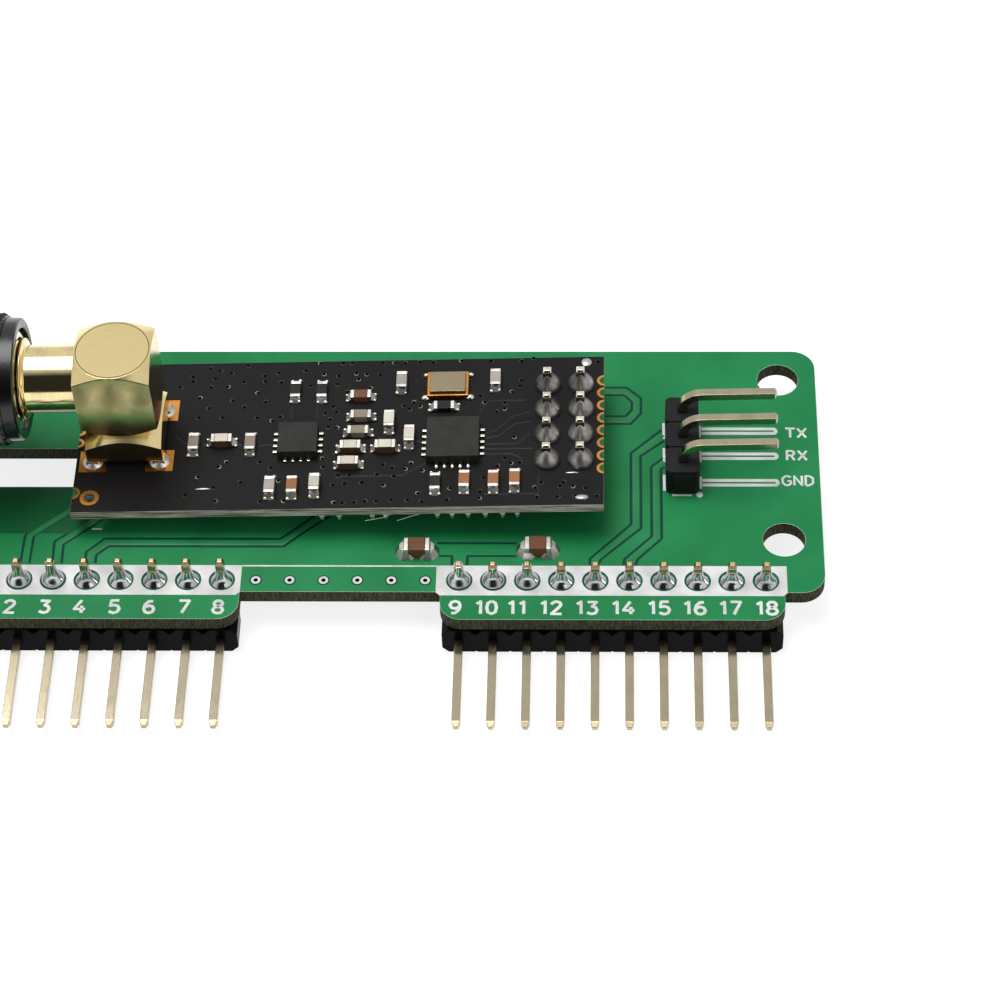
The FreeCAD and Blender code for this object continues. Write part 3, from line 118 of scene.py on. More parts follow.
# Vias in the module: distance from its right edge, distance from its front edge
VIAS = [
    (32.8, 12.5), (32.0, 13.6), (31.8, 13.1), (31.6, 1.5), (31.2, 11.4), (31.2, 9.3), (30.8, 3.3),
    (30.6, 14.5), (30.5, 10.3), (30.4, 12.5), (30.2, 13.3), (29.8, 14.2), (29.5, 2.2), (29.4, 9.3),
    (29.2, 4.3), (29.2, 0.9), (29.1, 12.5), (28.9, 13.9), (28.7, 11.0), (28.7, 4.8), (27.9, 12.9),
    (27.7, 14.6), (27.7, 10.4), (27.5, 2.8), (26.8, 11.8), (26.7, 9.2), (26.4, 13.6), (26.3, 13.0),
    (26.2, 4.7), (26.1, 10.9), (25.9, 0.8), (25.5, 8.9), (25.3, 13.8), (25.3, 4.1), (25.0, 12.9),
    (24.8, 9.3), (24.6, 2.8), (24.1, 0.8), (23.2, 14.0), (22.7, 12.4), (22.1, 14.8), (21.7, 13.6),
    (21.4, 9.5), (21.4, 5.0), (21.3, 4.1), (21.1, 8.1), (21.0, 9.0), (20.8, 10.2), (20.6, 13.4),
    (20.6, 12.5), (20.5, 9.6), (20.5, 2.3), (20.4, 8.1), (20.3, 14.7), (20.3, 0.6), (20.1, 3.2),
    (19.8, 11.8), (19.6, 14.7), (19.6, 2.5), (19.6, 0.5), (19.3, 3.3), (19.2, 13.6), (19.0, 13.0),
    (18.7, 0.6), (18.4, 13.5), (18.3, 2.5), (18.0, 12.1), (17.9, 0.7), (17.4, 13.5), (17.2, 3.3),
    (17.1, 14.7), (17.1, 0.6), (16.7, 4.3), (16.6, 2.2), (16.3, 14.7), (16.0, 4.0), (16.0, 0.7),
    (15.9, 3.1), (15.4, 14.7), (15.4, 10.2), (15.0, 3.8), (14.9, 9.8), (14.8, 0.7), (14.6, 10.6),
    (14.6, 4.4), (14.3, 14.8), (14.1, 10.1), (14.0, 1.4), (13.7, 3.6), (13.7, 0.6), (13.2, 14.7),
    (11.7, 0.7), (11.6, 1.8), (11.1, 14.8), (9.5, 11.2), (9.3, 1.5), (9.3, 0.8), (9.2, 10.4),
    (9.1, 2.8), (8.7, 14.7), (8.2, 9.5), (8.0, 4.0), (7.6, 10.3), (7.6, 9.7), (7.5, 4.7),
    (7.1, 11.5), (7.0, 4.2), (6.8, 6.8), (6.5, 12.0), (6.4, 14.7), (6.4, 12.7), (6.3, 4.3),
    (5.5, 14.9), (5.2, 1.8), (5.0, 0.9), (4.7, 2.2), (3.4, 0.8), (3.3, 1.8), (3.0, 2.3),
    (2.3, 1.8), (2.2, 0.9), (1.4, 1.6), (0.5, 14.5), (0.5, 0.9),
]
# Strokes of the printed characters, on a box one high. Each stroke is a line of points
STROKES = {
    "1": [[(0.06, 0.78), (0.3, 1.0), (0.3, 0.0)]],
    "2": [[(0.05, 0.74), (0.1, 0.9), (0.3, 1.0), (0.52, 0.92), (0.58, 0.74), (0.48, 0.54), (0.02, 0.0),
           (0.62, 0.0)]],
    "3": [[(0.05, 0.96), (0.58, 0.96), (0.3, 0.6), (0.5, 0.54), (0.6, 0.32), (0.5, 0.08), (0.28, 0.0),
           (0.02, 0.12)]],
    "4": [[(0.42, 1.0), (0.02, 0.3), (0.66, 0.3)], [(0.46, 0.56), (0.46, 0.0)]],
    "5": [[(0.56, 1.0), (0.12, 1.0), (0.07, 0.56), (0.3, 0.64), (0.52, 0.54), (0.6, 0.32), (0.5, 0.08),
           (0.28, 0.0), (0.02, 0.12)]],
    "6": [[(0.54, 0.95), (0.3, 0.94), (0.1, 0.68), (0.04, 0.34), (0.12, 0.08), (0.32, 0.0), (0.54, 0.08),
           (0.62, 0.3), (0.53, 0.52), (0.32, 0.6), (0.1, 0.46)]],
    "7": [[(0.02, 1.0), (0.6, 1.0), (0.2, 0.0)]],
    "8": [[(0.31, 0.54), (0.1, 0.64), (0.07, 0.82), (0.18, 0.97), (0.31, 1.0), (0.45, 0.97), (0.56, 0.82),
           (0.52, 0.64), (0.31, 0.54), (0.08, 0.42), (0.02, 0.24), (0.12, 0.05), (0.31, 0.0), (0.5, 0.05),
           (0.6, 0.24), (0.54, 0.42), (0.31, 0.54)]],
    "9": [[(0.1, 0.05), (0.34, 0.06), (0.54, 0.32), (0.6, 0.66), (0.52, 0.92), (0.32, 1.0), (0.1, 0.92),
           (0.02, 0.7), (0.11, 0.48), (0.32, 0.4), (0.54, 0.54)]],
    "0": [[(0.31, 1.0), (0.1, 0.88), (0.03, 0.5), (0.1, 0.12), (0.31, 0.0), (0.52, 0.12), (0.59, 0.5),
           (0.52, 0.88), (0.31, 1.0)]],
    "T": [[(0.0, 1.0), (0.7, 1.0)], [(0.35, 1.0), (0.35, 0.0)]],
    "X": [[(0.02, 1.0), (0.66, 0.0)], [(0.66, 1.0), (0.02, 0.0)]],
    "R": [[(0.06, 0.0), (0.06, 1.0), (0.42, 1.0), (0.58, 0.88), (0.58, 0.64), (0.42, 0.5), (0.06, 0.5)],
          [(0.36, 0.5), (0.62, 0.0)]],
    "G": [[(0.64, 0.84), (0.46, 0.98), (0.24, 0.98), (0.04, 0.74), (0.04, 0.26), (0.24, 0.02), (0.46, 0.02),
           (0.64, 0.2), (0.64, 0.46), (0.38, 0.46)]],
    "N": [[(0.06, 0.0), (0.06, 1.0), (0.62, 0.0), (0.62, 1.0)]],
    "D": [[(0.06, 0.0), (0.06, 1.0), (0.32, 1.0), (0.6, 0.76), (0.6, 0.24), (0.32, 0.0), (0.06, 0.0)]],
}
# Widens the characters without changing their height
LETTER_WIDTH = 1.1


def linear(level):
    """One channel of a screen colour, 0 to 255, as light."""
    share = level / 255
    return share / 12.92 if share <= 0.04045 else ((share + 0.055) / 1.055) ** 2.4


def screen(red, green, blue):
    return (linear(red), linear(green), linear(blue))


def size(name, description, millimetres):
    return FloatProperty(name=name, description=description, default=millimetres * MM, min=0,
                         precision=5, subtype="DISTANCE", unit="LENGTH")


def colour(name, description, red, green, blue):
    return FloatVectorProperty(name=name, description=description, subtype="COLOR", size=3, min=0, max=1,
                               default=screen(red, green, blue))


class CarrierSettings(bpy.types.PropertyGroup):
    """Sizes and colours of the carrier board's print and finish"""
    mask: colour("Mask", "Green solder mask over the copper", 38, 138, 82)
    mask_deep: colour("Mask, darker", "Patches where the mask is thicker", 26, 122, 68)
    gap: colour("Gaps", "Lines where there is no copper under the mask", 0, 66, 54)
    bare: colour("Bare board", "Wide places where there is no copper under the mask", 14, 98, 54)
    track: colour("Tracks", "Mask over a track between two gaps", 40, 136, 78)
    # The rim colour is a painted highlight along the mask's rounded edge
    rim: colour("Rim", "Rounded rim of the mask at the board's edge", 196, 232, 210)
    ink: colour("Ink", "White printing", 236, 237, 236)
    cut_edge: colour("Cut edge", "Routed edge of the board", 98, 100, 78)
    ink_height: size("Ink height", "Thickness of the white printing", 0.02)
    number_height: size("Number height", "Height of the printed pin numbers", 1.18)
    number_stroke: size("Number stroke", "Width of the numbers' strokes", 0.25)
    opening: size("Opening radius", "Holes in the white strips round the pins", 1.0)
    gap_width: size("Gap width", "Lines without copper beside the tracks", 0.22)


class ModuleSettings(bpy.types.PropertyGroup):
    """Sizes and colours of the radio module"""
    mask: colour("Mask", "Charcoal solder mask", 28, 27, 27)
    mask_deep: colour("Mask, darker", "Patches where the mask is thicker", 22, 21, 22)
    cut_edge: colour("Cut edge", "Light glass fibres in the cut edge", 222, 222, 206)
    plated: colour("Gold", "Gold plated pads and holes", 208, 144, 72)
    chip_top: colour("Chip top", "Moulded plastic of the two chips", 38, 38, 34)
    via_radius: size("Via radius", "Outer radius of a small plated hole", 0.17)
    pad_side: size("Pad side", "Square pads under the connector's legs", 2.1)


class MetalSettings(bpy.types.PropertyGroup):
    """Colours of the pins, solder and connector"""
    tin: colour("Tin", "Plating of the pins", 184, 173, 147)
    solder: colour("Solder", "Bright solder", 208, 210, 212)
    brass: colour("Brass", "Gold plated connector block", 234, 214, 157)
    barrel: colour("Barrel", "Polished gold plated barrel", 246, 226, 170)
    pin_edge: size("Pin edge", "Rounding of the pins' edges", 0.04)


class PlasticSettings(bpy.types.PropertyGroup):
    """Colours and roundings of the plastic pieces"""
    # The headers' plastic is kept far darker than the serial header's plastic: painted shade
    nylon: colour("Header plastic", "Black plastic of the pin headers", 9, 9, 10)
    antenna: colour("Antenna", "Black plastic of the antenna", 14, 14, 15)
    header_edge: size("Header edge", "Rounding of the headers' edges", 0.08)
    knurl_height: size("Knurl height", "Height of the sleeve's diamonds", 0.22)
    knurl_columns: IntProperty(name="Knurl columns", description="Diamonds round the sleeve",
                               default=44, min=12, max=80)


class StudioSettings(bpy.types.PropertyGroup):
    """Light, floor and camera"""
    floor: colour("Floor", "Pale floor", 172, 172, 173)
    lamp_power: FloatProperty(name="Lamp power", description="Power of the large soft lamp",
                              default=1.95, min=0, unit="POWER")
    fill_power: FloatProperty(name="Fill power", description="Power of the front lamp",
                              default=0.35, min=0, unit="POWER")
    lens: FloatProperty(name="Lens", description="Focal length on a 36 mm sensor", default=120.77,
                        min=10, max=400, unit="CAMERA")
    camera_place: FloatVectorProperty(name="Camera place", description="Where the camera stands", size=3,
                                      default=(0.0174, -0.16907, 0.19658), subtype="TRANSLATION",
                                      unit="LENGTH")


def settings(group):
    return getattr(bpy.context.scene, group)


# Materials

def put(tree, kind, inputs=None, **options):
    """Add a node. Each input is a number, a colour or another node's socket."""
    node = tree.nodes.new(kind)
    for option, value in options.items():
        setattr(node, option, value)
    for name, value in (inputs or {}).items():
        if isinstance(value, bpy.types.NodeSocket):
            tree.links.new(value, node.inputs[name])
        else:
            node.inputs[name].default_value = value
    return node


def opaque(rgb):
    return (rgb[0], rgb[1], rgb[2], 1)


def blend(tree, factor, first, second, kind="RGBA"):
    """Mix two colours or two numbers."""
    one, other, mixed = {"RGBA": (6, 7, 2), "FLOAT": (2, 3, 0)}[kind]
    inputs = {0: factor, one: first, other: second}
    return put(tree, "ShaderNodeMix", inputs, data_type=kind).outputs[mixed]


def arithmetic(tree, operation, first, second=0.5):
    return put(tree, "ShaderNodeMath", {0: first, 1: second}, operation=operation).outputs[0]


def spread(tree, value, low, high, to_high=1.0):
    """Spread a value between two levels out from nought."""
    return put(tree, "ShaderNodeMapRange", {"Value": value, "From Min": low, "From Max": high,
                                            "To Max": to_high}).outputs[0]


def cloud(tree, place, scale, detail=2.0, roughness=0.5):
    return put(tree, "ShaderNodeTexNoise", {"Vector": place, "Scale": scale, "Detail": detail,
                                            "Roughness": roughness}).outputs["Fac"]


def effect(name, inputs, outputs):
    """An empty node group with named sockets, and the sockets inside it."""
    tree = bpy.data.node_groups.new(name, "ShaderNodeTree")
    for label, kind, value in inputs:
        socket = tree.interface.new_socket(label, in_out="INPUT", socket_type=kind)
        socket.default_value = value
    for label, kind in outputs:
        tree.interface.new_socket(label, in_out="OUTPUT", socket_type=kind)
    return tree, put(tree, "NodeGroupInput").outputs, put(tree, "NodeGroupOutput").inputs


FLOAT, VECTOR = "NodeSocketFloat", "NodeSocketVector"


def fine_grain():
    """Soft patches and a fine grain, for moulded plastic, mask and ceramic."""
    tree, given, result = effect(
        "Fine grain",
        [("Patch scale", FLOAT, 200.0), ("Grain scale", FLOAT, 9000.0), ("Smooth", FLOAT, 0.3),
         ("Rough", FLOAT, 0.5)],
        [("Patches", FLOAT), ("Grain", FLOAT), ("Roughness", FLOAT)])
    place = put(tree, "ShaderNodeTexCoord").outputs["Object"]
    patches = spread(tree, cloud(tree, place, given["Patch scale"], 3.0), 0.32, 0.68)
    grain = cloud(tree, place, given["Grain scale"], 2.0)
    tree.links.new(patches, result["Patches"])
    tree.links.new(grain, result["Grain"])
    mixed = arithmetic(tree, "ADD", arithmetic(tree, "MULTIPLY", patches, 0.6),
                       arithmetic(tree, "MULTIPLY", grain, 0.4))
    tree.links.new(blend(tree, mixed, given["Smooth"], given["Rough"], "FLOAT"), result["Roughness"])
    return tree


def worn_metal():
    """Streaks, dull patches and tiny pits, for plated metal and solder."""
    tree, given, result = effect(
        "Worn metal",
        [("Stretch", VECTOR, (1.0, 1.0, 1.0)), ("Streak scale", FLOAT, 1500.0),
         ("Bright", FLOAT, 0.15), ("Dull", FLOAT, 0.4)],
        [("Tone", FLOAT), ("Roughness", FLOAT), ("Height", FLOAT)])
    place = put(tree, "ShaderNodeTexCoord").outputs["Object"]
    drawn = put(tree, "ShaderNodeVectorMath", {0: place, 1: given["Stretch"]}, operation="MULTIPLY")
    streaks = cloud(tree, drawn.outputs[0], given["Streak scale"], 4.0, 0.6)
    stains = spread(tree, cloud(tree, place, 700.0, 3.0), 0.35, 0.7)
    tone = arithmetic(tree, "ADD", arithmetic(tree, "MULTIPLY", streaks, 0.5),
                      arithmetic(tree, "MULTIPLY", stains, 0.5))
    tree.links.new(tone, result["Tone"])
    tree.links.new(blend(tree, tone, given["Bright"], given["Dull"], "FLOAT"), result["Roughness"])
    tree.links.new(streaks, result["Height"])
    return tree


def cut_fibres():
    """A routed board's edge: where it shows, where the rounded rim beside it shows for its painted
    highlight, its ribs, and its height.
    """
    tree, given, result = effect(
        "Cut fibres",
        [("Along", FLOAT, 400.0), ("Upright", FLOAT, 5000.0)],
        [("Edge", FLOAT), ("Rim", FLOAT), ("Fibres", FLOAT), ("Height", FLOAT)])
    coordinates = put(tree, "ShaderNodeTexCoord").outputs
    facing = put(tree, "ShaderNodeSeparateXYZ", {0: coordinates["Normal"]}).outputs["Z"]
    upright = arithmetic(tree, "ABSOLUTE", facing)
    tree.links.new(arithmetic(tree, "LESS_THAN", upright, 0.55), result["Edge"])
    tree.links.new(arithmetic(tree, "LESS_THAN", upright, 0.965), result["Rim"])
    scales = put(tree, "ShaderNodeCombineXYZ", {0: given["Along"], 1: given["Along"],
                                                2: given["Upright"]}).outputs[0]
    drawn = put(tree, "ShaderNodeVectorMath", {0: coordinates["Object"], 1: scales}, operation="MULTIPLY")
    fibres = cloud(tree, drawn.outputs[0], 1.0, 5.0, 0.7)
    tree.links.new(spread(tree, fibres, 0.4, 0.62), result["Fibres"])
    tree.links.new(fibres, result["Height"])
    return tree


GROUPS = {}


def use_effect(tree, builder, **values):
    """Place an effect's node in a material. It is built the first time."""
    if builder not in GROUPS:
        GROUPS[builder] = builder()
    node = put(tree, "ShaderNodeGroup", node_tree=GROUPS[builder])
    for name, value in values.items():
        node.inputs[name.replace("_", " ")].default_value = value
    return node.outputs


def new_material(name, **shader_values):
    """A material with its shader. Values that are the same all over go on the shader."""
    material = bpy.data.materials.new(name)
    material.use_nodes = True
    tree = material.node_tree
    tree.nodes.clear()
    shader = put(tree, "ShaderNodeBsdfPrincipled")
    for label, value in shader_values.items():
        shader.inputs[label.replace("_", " ")].default_value = value
    output = put(tree, "ShaderNodeOutputMaterial")
    tree.links.new(shader.outputs[0], output.inputs[0])
    return material, tree, shader.inputs


def bump(tree, shader, height, strength, distance):
    node = put(tree, "ShaderNodeBump", {"Height": height, "Strength": strength, "Distance": distance})
    tree.links.new(node.outputs[0], shader["Normal"])


def board_finish(name, mask, deep, edge, edge_dark, rim, rough, ribs, gloss=0.14):
    """Solder mask on the faces, a painted highlight on the rounded rim, and cut glass fibre on the edges."""
    material, tree, shader = new_material(name, IOR=1.5, Specular_IOR_Level=gloss)
    grain = use_effect(tree, fine_grain, Patch_scale=160.0, Grain_scale=2600.0, Smooth=rough,
                       Rough=rough + 0.14)
    cut = use_effect(tree, cut_fibres, Along=ribs[0], Upright=ribs[1])
    face = blend(tree, grain["Patches"], opaque(mask), opaque(deep))
    side = blend(tree, cut["Fibres"], opaque(edge_dark), opaque(edge))
    # Painted highlight: the rim colour goes where the face starts to turn down to the edge
    face = blend(tree, cut["Rim"], face, opaque(rim))
    tree.links.new(blend(tree, cut["Edge"], face, side), shader["Base Color"])
    tree.links.new(blend(tree, cut["Edge"], grain["Roughness"], 0.75, "FLOAT"), shader["Roughness"])
    height = blend(tree, cut["Edge"], arithmetic(tree, "MULTIPLY", grain["Grain"], 0.12), cut["Height"],
                   "FLOAT")
    bump(tree, shader, height, 0.5, 0.05 * MM)
    return material


def plastic_finish(name, rgb, smooth, rough, patch=300.0, grain_scale=7000.0, depth=0.01, shine=0.3):
    """Moulded plastic, mask, ink or ceramic, with soft patches and a fine grain."""
    material, tree, shader = new_material(name, IOR=1.5, Specular_IOR_Level=shine)
    grain = use_effect(tree, fine_grain, Patch_scale=patch, Grain_scale=grain_scale, Smooth=smooth,
                       Rough=rough)
    darker = opaque([c * 0.72 for c in rgb])
    tree.links.new(blend(tree, grain["Patches"], opaque(rgb), darker), shader["Base Color"])
    tree.links.new(grain["Roughness"], shader["Roughness"])
    bump(tree, shader, grain["Grain"], 0.4, depth * MM)
    return material


def metal_finish(name, rgb, dark_share=0.7, bright=0.12, dull=0.35, stretch=(1, 1, 1), scale=1500.0,
                 depth=0.01, painted_underside_shade=0.0):
    """Plated metal or solder. The painted underside shade darkens what faces down towards brown: painted
    shade and painted dark reflection.
    """
    material, tree, shader = new_material(name, Metallic=1.0)
    wear = use_effect(tree, worn_metal, Stretch=stretch, Streak_scale=scale, Bright=bright, Dull=dull)
    darker = opaque([c * dark_share for c in rgb])
    surface = blend(tree, spread(tree, wear["Tone"], 0.3, 0.75), opaque(rgb), darker)
    # Painted shade and dark reflection: faces turned down are darkened by their facing alone
    if painted_underside_shade:
        normal = put(tree, "ShaderNodeTexCoord").outputs["Normal"]
        facing = put(tree, "ShaderNodeSeparateXYZ", {0: normal}).outputs["Z"]
        below = spread(tree, facing, 0.05, -0.45, painted_underside_shade)
        surface = blend(tree, below, surface, opaque([rgb[0] * 0.16, rgb[1] * 0.13, rgb[2] * 0.08]))
    tree.links.new(surface, shader["Base Color"])
    tree.links.new(wear["Roughness"], shader["Roughness"])
    bump(tree, shader, wear["Height"], 0.5, depth * MM)
    return material


def make_finishes():
    carrier, module = settings("carrier_finish"), settings("module_finish")
    metal, plastic = settings("metal_finish"), settings("plastic_finish")
    return {
        # Each board's rim colour is a painted highlight on its rounded edge
        "green": board_finish("Green mask", carrier.mask, carrier.mask_deep, carrier.cut_edge,
                              screen(48, 48, 36), carrier.rim, 0.3, (9000.0, 1600.0)),
        "gap": plastic_finish("Mask without copper", carrier.gap, 0.3, 0.45, shine=0.15),
        "bare": plastic_finish("Bare board mask", carrier.bare, 0.3, 0.45, shine=0.2),
        "lane": plastic_finish("Track mask", carrier.track, 0.3, 0.44, shine=0.22),
        "ink": plastic_finish("White ink", carrier.ink, 0.5, 0.65, 500.0),
        "charcoal": board_finish("Charcoal mask", module.mask, module.mask_deep, module.cut_edge,
                                 screen(66, 64, 54), screen(120, 120, 112), 0.32, (220.0, 9000.0), 0.1),
        "track": plastic_finish("Charcoal tracks", screen(36, 35, 36), 0.3, 0.45, shine=0.15),
        # Nylon is a darker copy of the serial header's black plastic: painted shade on the front and module
        # headers
        "nylon": plastic_finish("Header nylon", plastic.nylon, 0.2, 0.36, 400.0, shine=0.045),
        "slate": plastic_finish("Serial header plastic", screen(33, 34, 36), 0.5, 0.62, shine=0.12),
        "tin": metal_finish("Tinned pin", metal.tin, 0.8, 0.1, 0.24, (1, 0.08, 0.3), 6000.0, 0.005),
        "cut_tip": metal_finish("Cut pin tip", screen(226, 190, 150), 0.7, 0.15, 0.4),
        # The bright metal is a painted highlight: on the module's pin tops, the chips' leads and the solder
        # beads
        "glint": metal_finish("Bright pin tip", screen(236, 230, 212), 0.72, 0.12, 0.3),
        # The pin-end finish goes only on the upward chamfers at the front pins' far ends: painted shade over
        # their highlight
        "end_cut": metal_finish("Pin end", screen(178, 164, 130), 0.72, 0.3, 0.5),
        "solder": metal_finish("Bright solder", metal.solder, 0.6, 0.06, 0.2, (1, 1, 0.35), 1400.0, 0.05),
        # Darker, streaky solder for the module's cones and the chips' fillets: painted dark reflection
        "fluxed": metal_finish("Solder with painted dark reflection", screen(172, 170, 166), 0.24, 0.26, 0.5, (1, 1, 0.22),
                               2400.0, 0.06),
        "dull": metal_finish("Dull solder", screen(196, 194, 188), 0.55, 0.25, 0.45, scale=1600.0,
                             depth=0.04),
        "satin": metal_finish("Satin solder", screen(238, 234, 228), 0.75, 0.34, 0.5),
        "dim": metal_finish("Dim via rim", screen(84, 80, 74), 0.5, 0.3, 0.5),
        "lit": metal_finish("Lit via rim", screen(160, 152, 140), 0.5, 0.2, 0.5),
        "copper": metal_finish("Copper via rim", screen(126, 84, 66), 0.5, 0.3, 0.5),
        "end": metal_finish("Chip end", screen(222, 220, 212), 0.62, 0.25, 0.5, scale=4000.0, depth=0.03),
        "umber": plastic_finish("Umber ceramic", screen(122, 76, 52), 0.35, 0.5),
        "orange": plastic_finish("Orange ceramic", screen(172, 112, 70), 0.35, 0.5),
        "buff": plastic_finish("Buff ceramic", screen(150, 136, 120), 0.35, 0.5),
        "pale": plastic_finish("Pale ceramic", screen(178, 172, 162), 0.35, 0.5),
        "cream": plastic_finish("Cream ceramic", screen(226, 220, 204), 0.35, 0.5),
        "brown": plastic_finish("Brown ferrite", screen(96, 74, 48), 0.4, 0.55),
        "black": plastic_finish("Black glaze", screen(26, 26, 27), 0.2, 0.35),
        "epoxy": plastic_finish("Chip epoxy", module.chip_top, 0.45, 0.65, 900.0, 12000.0, shine=0.22),
        # Dark lines drawn along the connector block's creases: painted dark reflection
        "seam": plastic_finish("Dark seam in the plating", screen(74, 58, 30), 0.4, 0.6, shine=0.1),
        "gold": metal_finish("Pad gold", module.plated, 0.6, 0.2, 0.4, scale=2500.0),
        "lid": metal_finish("Crystal lid", screen(138, 126, 104), 0.85, 0.3, 0.45, (1, 0.2, 1), 5000.0),
        # The brass and the barrel are darkened underneath: painted shade and painted dark reflection
        "brass": metal_finish("Connector brass", metal.brass, 0.86, 0.1, 0.24, scale=1100.0, depth=0.004,
                              painted_underside_shade=0.3),
        "barrel": metal_finish("Barrel gold", metal.barrel, 0.8, 0.05, 0.16, (1, 0.1, 0.1), 3000.0, 0.006,
                               painted_underside_shade=0.85),
        "steel": metal_finish("Nut metal", screen(232, 222, 190), 0.7, 0.08, 0.22),
        "insulator": plastic_finish("White insulator", screen(232, 230, 222), 0.4, 0.55),
        "rubber": plastic_finish("Antenna plastic", plastic.antenna, 0.16, 0.34, 250.0, 5000.0, 0.02, 0.5),
        # Near-black: painted shade inside the via holes and the carrier's bores; it also marks the serial
        # header's dark joints
        "hole": plastic_finish("Dark hole", screen(4, 4, 4), 0.7, 0.9, shine=0.02),
        "fibre": plastic_finish("Loose fibre", screen(190, 190, 178), 0.3, 0.5),
    }


# Meshes

def corners_in(geometry):
    return [part for part in geometry if isinstance(part, bmesh.types.BMVert)]


def paint(corners, finish_index):
    """Give the faces round some corners one of their piece's finishes."""
    for face in {face for corner in corners for face in corner.link_faces}:
        face.material_index = finish_index


def copied(node):
    """A CAD node's triangles as one clean mesh: doubles merged, flat faces whole again."""
    mesh = bmesh.new()
    mesh.from_mesh(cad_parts[node].data)
    bmesh.ops.remove_doubles(mesh, verts=mesh.verts, dist=SAME_POINT)
    bmesh.ops.dissolve_limit(mesh, angle_limit=FLAT, verts=mesh.verts, edges=mesh.edges)
    return mesh


def finish(mesh, name, finishes, body=BOARD, stands_for=(), edge=0.0, segments=2, outward=True,
           crease=CREASE):
    """Turn a bmesh into a piece that rides on a body. Edge is the rounding of its creases in metres."""
    if outward:
        bmesh.ops.remove_doubles(mesh, verts=mesh.verts, dist=SAME_POINT / 10)
        bmesh.ops.recalc_face_normals(mesh, faces=mesh.faces)
    for face in mesh.faces:
        face.smooth = True
    for line in mesh.edges:
        line.smooth = not (line.is_manifold and line.calc_face_angle() > crease)
    data = bpy.data.meshes.new(name)
    mesh.to_mesh(data)
    mesh.free()
    if "custom_normal" in data.attributes:
        data.attributes.remove(data.attributes["custom_normal"])
    for key in finishes if isinstance(finishes, (list, tuple)) else [finishes]:
        data.materials.append(FINISHES[key])
    piece = bpy.data.objects.new(name, data)
    bpy.context.scene.collection.objects.link(piece)
    if edge:
        rounding = piece.modifiers.new("Rounded edges", "BEVEL")
        rounding.width = edge
        rounding.segments = segments
        rounding.limit_method = "ANGLE"
        rounding.angle_limit = crease
        rounding.harden_normals = True
        rounding.use_clamp_overlap = True
    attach(piece, body)
    if stands_for:
        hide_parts(*stands_for)


def dress(node, name, finishes, body=BOARD, edge=0.05 * MM, segments=2, choose=None, shape=None,
          crease=CREASE):
    """Replace a CAD node by a copy with rounded edges. Choose gives each face its finish."""
    mesh = copied(node)
    if shape:
        shape(mesh)
    if choose:
        for face in mesh.faces:
            face.material_index = choose(face)
    finish(mesh, name, finishes, body, [node], edge, segments, False, crease)


def turned(mesh, profile, steps, place):
    """Spin a profile of (radius, height) pairs in millimetres about Z, then put it in its place."""
    points = [mesh.verts.new((radius * MM, 0, height * MM)) for radius, height in profile]
    lines = [mesh.edges.new(pair) for pair in zip(points, points[1:])]
    spun = bmesh.ops.spin(mesh, geom=points + lines, axis=(0, 0, 1), cent=(0, 0, 0), dvec=(0, 0, 0),
                          angle=2 * math.pi, steps=steps, use_merge=True, use_duplicate=False)
    touched = set(points + corners_in(spun["geom_last"]))
    grown = True
    while grown:
        near = {other for corner in touched for line in corner.link_edges for other in line.verts}
        grown = not near <= touched
        touched |= near
    bmesh.ops.remove_doubles(mesh, verts=list(touched), dist=SAME_POINT)
    bmesh.ops.transform(mesh, matrix=place, verts=[corner for corner in touched if corner.is_valid])


def slab(mesh, corner, far_corner):
    """A box between two corners in millimetres."""
    low, high = Vector(corner), Vector(far_corner)
    middle, span = (low + high) / 2 * MM, (high - low) * MM
    bmesh.ops.create_cube(mesh, size=1, matrix=Matrix.Translation(middle) @ Matrix.Diagonal((*span, 1)))


def ring(mesh, centre, inner, outer, height, sides, finish_index=0):
    """A flat ring, open below: a circle extruded up, inwards and down again."""
    at = Matrix.Translation(Vector(centre) * MM)
    circle = bmesh.ops.create_circle(mesh, segments=sides, radius=outer * MM, matrix=at)["verts"]
    border = list({line for corner in circle for line in corner.link_edges})
    up = Vector((0, 0, height * MM))
    made = []
    for move, share in ((up, 1), (Vector(), inner / outer), (-up, 1)):
        grown = bmesh.ops.extrude_edge_only(mesh, edges=border)["geom"]
        corners = corners_in(grown)
        made += [part for part in grown if isinstance(part, bmesh.types.BMFace)]
        middle = sum((corner.co for corner in corners), Vector()) / len(corners)
        for corner in corners:
            corner.co = middle + (corner.co - middle) * share + move
        border = [part for part in grown if isinstance(part, bmesh.types.BMEdge)
                  and all(end in corners for end in part.verts)]
    for face in made:
        face.material_index = finish_index


def eased(points, ease):
    """Cut each inner corner a little, so that a line keeps its width round it."""
    result = [points[0]]
    for before, here, after in zip(points, points[1:], points[2:]):
        for other in (before, after):
            reach = min(0.45, ease / max((other - here).length, ease))
            result.append(here.lerp(other, reach))
    return result + [points[-1]]


